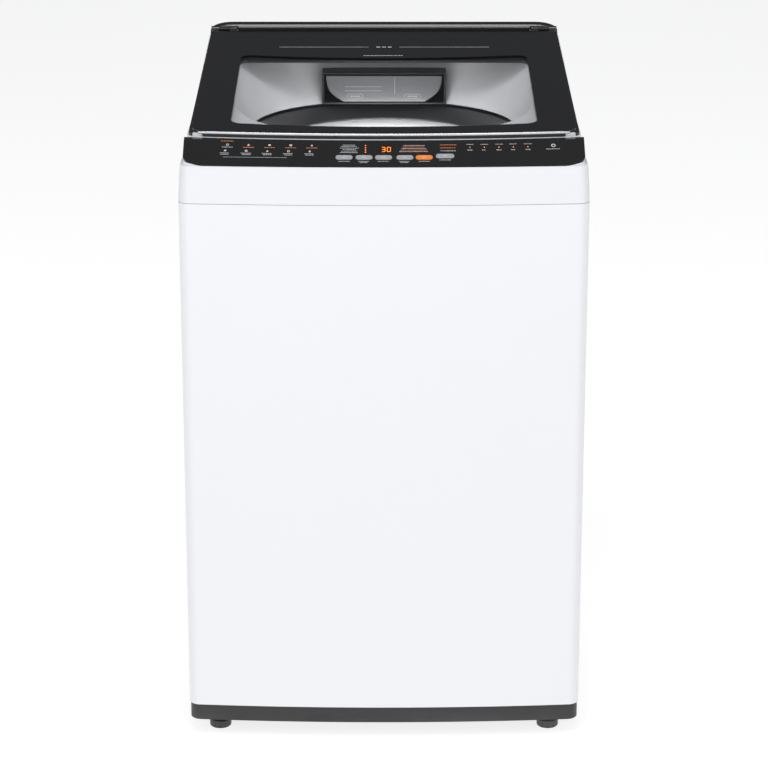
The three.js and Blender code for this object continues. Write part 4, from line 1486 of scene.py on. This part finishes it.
@dataclass
class Services:
    """The water inlet, drain outlet, cord gland and pressure sensor."""

    thread_turns: int = 5
    thread_start: float = 0.2893
    thread_pitch: float = 0.0022

    def sleeve(self, name: str, profile: list[Point], spot: Point) -> Piece:
        """A turned piece whose axis runs backwards: radius and depth pairs round a hollow core."""
        return moved(turned(name, profile, sides=64), at(spot[0], 0, spot[1]) @ spin(-90, "X"))

    def build(self, paint: Paintbox) -> None:
        """Builds and dresses the fittings."""
        self.build_inlet(paint)
        end = SIZES.back - 0.0003
        outlet = [
            (0.0105, 0.262), (0.014, 0.262), (0.014, 0.284), (0.020, 0.284), (0.020, 0.2916),
            (0.014, 0.2916), (0.0132, 0.2945), (0.014, 0.2960), (0.0132, 0.2978), (0.014, 0.2992),
            (0.0128, end), (0.0105, end),
        ]
        spigot = self.sleeve("drain_spigot", rounded_profile(outlet, 0.0007, 3), DRAIN)
        paint.finish(spigot, Look.GREY_PLASTIC, ROOT, "drain_outlet")
        gland = [
            (0.004, 0.292), (0.0045, 0.3005), (0.006, end), (0.008, end), (0.009, 0.3004),
            (0.009, 0.2976), (0.0136, 0.2976), (0.014, 0.297), (0.014, 0.2842), (0.0138, 0.284),
            (0.004, 0.284),
        ]
        boot = self.sleeve("gland_boot", rounded_profile(gland, 0.0004, 2), GLAND)
        paint.finish(boot, Look.RUBBER, ROOT, "cord_gland")
        dome = [
            (0, 0.838), (0.022, 0.838), (0.022, 0.850), (0.014, 0.856), (0.005, 0.856), (0.005, 0.866),
            (0, 0.866),
        ]
        sensor = turned("sensor_case", rounded_profile(dome, 0.0012, 3, closed=False), 0.17, 0.262, 48)
        paint.finish(sensor, Look.GREY_PLASTIC, ROOT, "pressure_sensor")

    def build_inlet(self, paint: Paintbox) -> None:
        """Builds the valve's body with its spout, coil and threaded nozzle."""
        body = soften(block("valve_body", (-0.214, 0.236, 0.842), (-0.166, 0.284, 0.900)), 0.003, 4)
        combine(body, across("spout", "x", -0.170, -0.0985, (0.25, 0.89), 0.008, 48), "UNION")
        combine(body, across("coil", "z", 0.88, 0.8995, (-0.190, 0.26), 0.019, 48), "UNION")
        combine(body, across("root", "y", 0.275, 0.2895, INLET, 0.0112, 48), "UNION")
        combine(body, across("bore", "y", 0.2875, 0.31, INLET, 0.009, 48))
        thread = [(0.009, 0.2885), (0.0112, 0.2885)]
        for i in range(self.thread_turns):
            y = self.thread_start + i * self.thread_pitch
            thread += [(0.0113, y), (0.0125, y + 0.0009), (0.0113, y + 0.0018)]
        back = SIZES.back
        thread += [(0.0108, back - 0.0012), (0.0102, back - 0.0004), (0.009, back - 0.0004)]
        nozzle = self.sleeve("nozzle", thread, INLET)
        paint.finish(merged("water_inlet", [body, nozzle]), Look.BLACK_PLASTIC, ROOT, "inlet_valve")


# ---------------------------------------------------------------- tub, basket and drive

@dataclass
class Basket:
    """The perforated spin basket with its balance ring and lint filter."""

    outer: float = 0.237
    inner: float = 0.2345
    low: float = 0.269
    high: float = 0.8055
    columns: int = 72
    rows: int = 24
    hole: float = 0.0029
    ribs: int = 12
    rib_depth: float = 0.0026
    slots: int = 9

    def rib(self, angle: float) -> float:
        """How far the wall swells inwards at an angle, for the pressed ribs."""
        return -self.rib_depth * max(math.cos(angle * self.ribs), 0.0) ** 2

    def skin(self, radius: float, flip: bool, points: list, faces: list) -> list[list[int]]:
        """Adds one skin of the wall, as square cells with an octagonal hole in most.

        Args:
            radius: The skin's radius.
            flip: Whether its faces look inwards.
            points: The corners, which grow.
            faces: The faces, which grow.

        Returns:
            Each hole's ring of corners.
        """
        step = 2 * math.pi / self.columns
        rise = (self.high - self.low) / self.rows
        square = ((-1, -1), (0, -1), (1, -1), (1, 0), (1, 1), (0, 1), (-1, 1), (-1, 0))
        eighths = [math.radians(-135 + 45 * k) for k in range(8)]
        rings = []
        for place in range(self.rows * self.columns):
            row, column = divmod(place, self.columns)
            middle = (column + 0.5) * step
            height = self.low + (row + 0.5) * rise
            cell = [(middle + du * step / 2, height + dv * rise / 2) for du, dv in square]
            for angle in eighths:
                u, v = self.hole * math.cos(angle), self.hole * math.sin(angle)
                cell.append((middle + u / radius, height + v))
            start = len(points)
            for angle, z in cell:
                reach = radius + self.rib(angle)
                points.append(Vector((reach * math.cos(angle), reach * math.sin(angle), z)))
            around = [(start + k, start + (k + 1) % 8) for k in range(8)]
            patches = [[a, b, b + 8, a + 8] for a, b in around]
            ring = [a + 8 for a, _ in around]
            if 0 < row < self.rows - 1 and column % 6 not in (0, 5):
                rings.append(ring)
            else:
                patches.append(ring)
            faces.extend(face[::-1] if flip else face for face in patches)
        return rings

    def wall(self) -> Piece:
        """The perforated wall: two skins, joined round the holes and along both edges."""
        points: list[Vector] = []
        faces: list[list[int]] = []
        outside = self.skin(self.outer, False, points, faces)
        inside = self.skin(self.inner, True, points, faces)
        for a, b in zip(outside, inside):
            for k, m in zip(range(8), (*range(1, 8), 0)):
                faces.append([a[k], a[m], b[m], b[k]])
        to_inner = len(points) // 2
        for row, corners in ((0, (0, 1)), (self.rows - 1, (4, 5))):
            for column in range(self.columns):
                for k in corners:
                    first = (row * self.columns + column) * 16 + k
                    second = first + to_inner
                    faces.append([first, second, second + 1, first + 1])
        return new_object("basket_wall", points, faces)

    def build(self, paint: Paintbox) -> None:
        """Builds and dresses the basket, its ring and its filter."""
        floor = [
            (0.024, 0.258), (0.227, 0.258), (0.2368, 0.2685), (0.2348, 0.2692), (0.226, 0.261),
            (0.024, 0.261),
        ]
        dish = turned("basket_floor", rounded_profile(floor, 0.002, 3), sides=144)
        shell = merged("basket_shell", [self.wall(), dish])
        paint.finish(shell, Look.BASKET_STEEL, "basket_assembly", "basket", smooth=40)
        ring = [
            (0.206, 0.8059), (0.243, 0.8059), (0.246, 0.812), (0.246, 0.844), (0.240, 0.850),
            (0.212, 0.850), (0.206, 0.842),
        ]
        balance = turned("balance_ring_shell", rounded_profile(ring, 0.004, 5), sides=192)
        paint.finish(balance, Look.WHITE_PLASTIC, "basket_assembly", "balance_ring")
        self.build_filter(paint)

    def build_filter(self, paint: Paintbox) -> None:
        """Builds the lint filter, a case with slots across its front."""
        low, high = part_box("lint_filter")
        shell = soften(block("lint_filter_case", low, high), 0.003, 4)
        wide, tall = high.x - low.x - 0.012, high.z - low.z - 0.02
        for i in range(self.slots):
            z = low.z + 0.012 + tall * i / self.slots
            top = z + tall / self.slots - 0.0035
            combine(shell, block("slot", (-wide / 2, low.y - 0.01, z), (wide / 2, low.y + 0.003, top)))
        paint.finish(shell, Look.WHITE_PLASTIC, "basket_assembly", "lint_filter")


@dataclass
class Pulsator:
    """The pulsator disc with its curved vanes and a pressed centre cap."""

    vanes: int = 6
    near: float = 0.036
    far: float = 0.153
    sweep: float = 0.16
    steps: int = 24

    def surface(self, radius: float) -> float:
        """The height of the disc's top at a radius."""
        profile = ((0.0, 0.311), (0.03, 0.311), (0.06, 0.294), (0.15, 0.281), (0.166, 0.278))
        for (r0, z0), (r1, z1) in zip(profile, profile[1:]):
            if radius <= r1:
                return z0 + (z1 - z0) * (radius - r0) / (r1 - r0)
        return profile[-1][1]

    def build(self, paint: Paintbox) -> None:
        """Builds and dresses the pulsator and its cap."""
        profile = [
            (0, 0.160), (0.011, 0.160), (0.011, 0.264), (0.150, 0.264), (0.166, 0.271), (0.166, 0.2775),
            (0.150, 0.281), (0.06, 0.294), (0.03, 0.311), (0, 0.311),
        ]
        pieces = [turned("disc", rounded_profile(profile, 0.006, 5, closed=False), sides=144)]
        pieces += [self.vane(2 * math.pi * i / self.vanes) for i in range(self.vanes)]
        disc = merged("pulsator_disc", pieces)
        paint.finish(disc, Look.WHITE_PLASTIC, "pulsator_assembly", "pulsator", smooth=45)
        cap = [(0, 0.3114), (0.028, 0.3114), (0.028, 0.3165), (0.022, 0.3222), (0.010, 0.3238), (0, 0.324)]
        dome = turned("pulsator_dome", rounded_profile(cap, 0.003, 6, closed=False), sides=96)
        groove = [(0.0155, 0.3225), (0.0165, 0.3225), (0.0165, 0.33), (0.0155, 0.33)]
        combine(dome, turned("groove", groove, sides=96))
        paint.finish(dome, Look.GREY_PLASTIC, "pulsator_assembly", "pulsator_cap")

    def vane(self, start: float) -> Piece:
        """One vane that sweeps back as it runs outwards."""
        rings = []
        for t in span(0, 1, self.steps):
            radius = self.near + (self.far - self.near) * t
            angle = start + self.sweep * math.sin(math.pi * t * 0.5)
            high = 0.3045 - 0.021 * t ** 1.6
            width = 0.0078 * (1 - 0.25 * t) * min(1.0, 3 * math.sin(math.pi * min(max(t, 0.03), 0.97)))
            foot = self.surface(radius) - 0.004
            section = [(-width, foot), (width, foot)]
            for a in (math.radians(15 * k) for k in range(13)):
                rise = 0.003 + max(high - foot - 0.003, 0.002) * math.sin(a)
                section.append((width * math.cos(a), foot + rise))
            out = Vector((math.cos(angle), math.sin(angle), 0))
            side = Vector((-out.y, out.x, 0))
            rings.append([out * radius + side * s + Vector((0, 0, z)) for s, z in section])
        return loft("vane", rings)


@dataclass
class Tub:
    """The outer tub with its stiffening ribs, its rim ring and its bracket."""

    radius: float = 0.262
    shell: float = 0.260
    low: float = 0.235
    high: float = 0.845
    hoops: tuple[float, ...] = (0.36, 0.52, 0.68)
    ribs: int = 24
    bracket_low: float = 0.222
    bracket_high: float = 0.2346
    rod: float = 0.24

    def build(self, paint: Paintbox) -> None:
        """Builds and dresses the tub, the ring and the bracket."""
        low, shell, outer = self.low, self.shell, self.radius
        wall = [(0.030, low), (0.248, low), (0.2592, low + 0.012), (shell, low + 0.016)]
        for z in self.hoops:
            wall += [(shell, z - 0.012), (outer, z - 0.009), (outer, z + 0.009), (shell, z + 0.012)]
        wall += [
            (shell, 0.815), (outer, 0.820), (outer, self.high), (0.259, self.high),
            (0.2588, low + 0.0165), (0.247, low + 0.004), (0.030, low + 0.004),
        ]
        pieces = [turned("tub_shell", rounded_profile(wall, 0.0015, 3), sides=160)]
        for i in range(self.ribs):
            fin = block("fin", (0.2598, -0.0012, low + 0.02), (0.2617, 0.0012, 0.8155))
            pieces.append(moved(fin, spin(360 * (i + 0.5) / self.ribs)))
        paint.finish(merged("tub_shell_ribbed", pieces), Look.WHITE_PLASTIC, "tub_assembly", "tub")
        profile = [
            (0.262, 0.8454), (0.262, 0.860), (0.232, 0.870), (0.200, 0.8745), (0.164, 0.859),
            (0.164, 0.856), (0.199, 0.871), (0.230, 0.8665), (0.258, 0.857), (0.258, 0.8454),
        ]
        ring = turned("tub_rim", rounded_profile(profile, 0.0022, 4), sides=192)
        paint.finish(ring, Ink.RIM, "tub_assembly", "tub_ring")
        self.build_bracket(paint)

    def build_bracket(self, paint: Paintbox) -> None:
        """Builds the crossed bracket with pressed grooves and its rod holes."""
        low, high = self.bracket_low, self.bracket_high
        bracket = prism("bracket", circle(0.120, 72), low, high)
        for angle in (45, -45):
            arm = prism("arm", rounded(0.724, 0.056, 0.012), low, high)
            combine(bracket, moved(arm, spin(angle)), "UNION")
        combine(bracket, block("plate", (0, -0.046, low), (0.216, 0.046, high)), "UNION")
        soften(bracket, 0.0014, 3)
        drill(bracket, 0.062, 0, 0, 0, 0.3, 64)
        for angle, x, y in ((45, 1, 1), (135, -1, 1), (225, -1, -1), (315, 1, -1)):
            groove = prism("groove", rounded(0.150, 0.024, 0.0115), high - 0.0025, high + 0.01)
            combine(bracket, moved(groove, spin(angle) @ at(0.225, 0, 0)))
            drill(bracket, 0.008, x * self.rod, y * self.rod, 0, 0.3, 40)
        paint.finish(bracket, Look.GALVANISED, "tub_assembly", "tub_bracket")


@dataclass
class Drive:
    """The gearbox, motor and pulleys under the tub."""

    motor_x: float = 0.155
    webs: int = 12
    vents: int = 10
    plates: int = 15
    plate_pitch: float = 0.0030

    def build(self, paint: Paintbox) -> None:
        """Builds and dresses the drive."""
        case = [
            (0.023, 0.122), (0.060, 0.122), (0.064, 0.140), (0.088, 0.150), (0.088, 0.205),
            (0.060, 0.212), (0.060, 0.2346), (0.023, 0.2346),
        ]
        gearbox = turned("gearbox_case", rounded_profile(case, 0.003, 4), sides=96)
        for i in range(self.webs):
            web = block("web", (0.0845, -0.009, 0.156), (0.1, 0.009, 0.199))
            combine(gearbox, moved(web, spin(360 * i / self.webs)))
        paint.finish(gearbox, Look.ALUMINIUM, "tub_assembly", "gearbox")
        self.build_motor(paint)
        self.build_pulleys(paint)

    def build_pulleys(self, paint: Paintbox) -> None:
        """Builds the large pulley with six round holes and the small one with four."""
        large = [
            (0, 0.092), (0.066, 0.092), (0.066, 0.095), (0.061, 0.098), (0.061, 0.102), (0.066, 0.105),
            (0.066, 0.108), (0.055, 0.108), (0.052, 0.1), (0.018, 0.1), (0.011, 0.108), (0.011, 0.150),
            (0, 0.150),
        ]
        wheel = turned("large_wheel", rounded_profile(large, 0.0008, 2, closed=False), sides=96)
        for i in range(6):
            drill(wheel, 0.011, *polar(0.036, 60 * i), 0.08, 0.12)
        paint.finish(wheel, Look.ALUMINIUM, "large_pulley", "drive_pulley")
        small = [
            (0, 0.090), (0.030, 0.090), (0.030, 0.095), (0.025, 0.098), (0.025, 0.102), (0.030, 0.105),
            (0.030, 0.110), (0.006, 0.110), (0.006, 0.140), (0, 0.140),
        ]
        hub = turned("small_wheel", rounded_profile(small, 0.0008, 2, closed=False), self.motor_x, 0, 64)
        for i in range(4):
            drill(hub, 0.0042, *polar(0.016, 90 * i + 45, self.motor_x), 0.08, 0.12, 24)
        paint.finish(hub, Look.ALUMINIUM, "small_pulley", "motor_pulley")

    def build_motor(self, paint: Paintbox) -> None:
        """Builds the motor with its end bells, laminated stack and mounting plate."""
        profile = [(0.007, 0.114), (0.045, 0.114), (0.0585, 0.124), (0.0585, 0.138)]
        for i in range(self.plates):
            z = 0.139 + i * self.plate_pitch
            profile += [(0.060, z), (0.060, z + 0.0018), (0.0593, z + 0.0022), (0.0593, z + 0.0028)]
        profile += [(0.0585, 0.186), (0.0585, 0.196), (0.045, 0.206), (0.007, 0.206)]
        motor = turned("motor_case", profile, self.motor_x, 0, 72)
        for i in range(self.vents):
            vent = prism("vent", rounded(0.018, 0.006, 0.0028), 0.110, 0.119)
            place = at(self.motor_x, 0, 0) @ spin(360 * i / self.vents) @ at(0.033, 0, 0)
            combine(motor, moved(vent, place))
        plate = soften(block("motor_plate", (0.100, -0.020, 0.205), (0.210, 0.020, 0.2216)), 0.0015, 2)
        combine(motor, plate, "UNION")
        drill(motor, 0.007, self.motor_x, 0, 0.1, 0.19)
        paint.finish(motor, Look.ALUMINIUM, "tub_assembly", "motor")


@dataclass
class Springs:
    """The four suspension springs, wound in wire."""

    radius: float = 0.0152
    thickness: float = 0.0017
    turns: int = 9
    steps: int = 20
    flat: float = 0.8
    foot: float = 0.1364
    head: float = 0.2216

    def path(self, x: float, y: float) -> list[Vector]:
        """The wire's path, which lies flat for a while at both ends."""
        low, high = self.foot + self.thickness, self.head - self.thickness
        path = []
        for t in span(0, 1, self.turns * self.steps):
            eased = min(max((t * self.turns - self.flat) / (self.turns - 2 * self.flat), 0), 1)
            spot = polar(self.radius, 360 * self.turns * t, x, y)
            path.append(Vector((*spot, low + (high - low) * eased)))
        return path

    def build(self, paint: Paintbox) -> None:
        """Builds each spring."""
        for place in ("front_left", "front_right", "rear_left", "rear_right"):
            name = f"suspension_spring_{place}"
            low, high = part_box(name)
            x, y = (low.x + high.x) / 2, (low.y + high.y) / 2
            coil = wire(f"{name}_coil", self.path(x, y), self.thickness)
            paint.finish(coil, Look.STEEL, ROOT, name, smooth=80)
            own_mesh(coil)


# ---------------------------------------------------------------- studio and assembly

LAMPS = (
    ("key", (-2.6, -3.4, 2.6), (0, 0, 0.45), 2.6, 38),
    ("fill", (3.2, -2.6, 2.0), (0, 0, 0.4), 2.4, 21),
    ("left_rim", (-3.0, 1.8, 2.6), (0, 0, 0.5), 2.0, 22),
    ("right_rim", (3.0, 1.8, 2.6), (0, 0, 0.5), 2.0, 22),
    ("overhead", (0, -1.35, 3.6), (0, 0, 0.7), 1.5, 40),
    ("drum", (0, 0.01, 0.775), (0, 0.3, 0.80), 0.16, 0.55),
)


@dataclass
class Studio:
    """The faintly glowing floor, the soft lights, the pale surroundings and the camera."""

    distance: float = 3.95
    height: float = 1.71
    pitch: float = 17.0
    lens: float = 123.4
    shift: float = -0.028
    floor_radius: float = 14.0
    floor_glow: float = 0.80

    def build(self) -> None:
        """Sets the whole stage."""
        self.build_floor()
        self.build_world()
        for name, place, aim, size, power in LAMPS:
            self.add_light(name, place, aim, size, power)
        self.build_camera()
        bpy.context.scene.view_settings.view_transform = "Standard"

    def build_floor(self) -> None:
        """A wide pale floor under the feet."""
        floor = prism("floor", circle(self.floor_radius, 64), -0.02, 0)
        maker = MaterialMaker("floor")
        soft = maker.noise(maker.place(), 2.0, 2.0)
        maker.set(Base_Color=maker.blend(soft, (0.36, 0.36, 0.36), (0.38, 0.38, 0.38)), Roughness=0.6)
        maker.set(Emission_Color=(1.0, 1.0, 1.0), Emission_Strength=self.floor_glow)
        floor.data.materials.append(maker.material)

    def build_world(self) -> None:
        """Pale surroundings that fall off to grey behind and over the machine."""
        world = bpy.data.worlds.new("studio")
        world.use_nodes = True
        tree = world.node_tree
        back = tree.nodes["Background"]
        place = tree.nodes.new("ShaderNodeTexCoord")
        split = tree.nodes.new("ShaderNodeSeparateXYZ")
        ramp = tree.nodes.new("ShaderNodeValToRGB")
        tree.links.new(place.outputs["Generated"], split.inputs[0])
        tree.links.new(ramp.outputs[0], back.inputs[0])
        shift = tree.nodes.new("ShaderNodeMath")
        shift.operation = "MULTIPLY_ADD"
        shift.inputs[1].default_value = 0.5
        shift.inputs[2].default_value = 0.5
        tree.links.new(split.outputs[1], shift.inputs[0])
        tree.links.new(shift.outputs[0], ramp.inputs[0])
        MaterialMaker.set_stops(ramp.color_ramp, [(0.2, (0.66, 0.67, 0.69)), (0.5, (0.085, 0.087, 0.091))])
        back.inputs[1].default_value = 1.0
        bpy.context.scene.world = world

    def add_light(self, name: str, place: tuple, aim: tuple, size: float, power: float) -> None:
        """Adds a square area light that looks at a point."""
        data = bpy.data.lights.new(name, "AREA")
        data.size = size
        data.energy = power
        lamp = bpy.data.objects.new(name, data)
        lamp.location = place
        lamp.visible_camera = False
        lamp.rotation_euler = (Vector(aim) - Vector(place)).to_track_quat("-Z", "Y").to_euler()
        bpy.context.scene.collection.objects.link(lamp)

    def build_camera(self) -> None:
        """Places the camera in front and above, pitched down."""
        data = bpy.data.cameras.new("camera")
        data.lens = self.lens
        data.sensor_width = 36.0
        data.shift_y = self.shift
        camera = bpy.data.objects.new("camera", data)
        camera.location = (0, -self.distance, self.height)
        camera.rotation_euler = (math.radians(90 - self.pitch), 0, 0)
        bpy.context.scene.collection.objects.link(camera)
        bpy.context.scene.camera = camera


class WashingMachine:
    """The whole visual model."""

    def __init__(self) -> None:
        """Lists the sub-assemblies in the order they are built."""
        self.paint = Paintbox()
        self.pieces = [
            CabinetShell(), Base(), TopCover(), ControlPanel(), Lid(), RearCover(), Dispenser(), Services(),
            Tub(), Drive(), Basket(), Pulsator(), Springs(),
        ]

    def build(self) -> None:
        """Dresses the CAD frame, then builds every sub-assembly."""
        self.paint.dress_frame()
        for piece in self.pieces:
            LOG.info("building %s", type(piece).__name__)
            piece.build(self.paint)


def main() -> None:
    """Builds the machine and its studio."""
    logging.basicConfig(level=logging.INFO, format="%(name)s: %(message)s")
    WashingMachine().build()
    Studio().build()


if __name__ == "__main__":
    main()
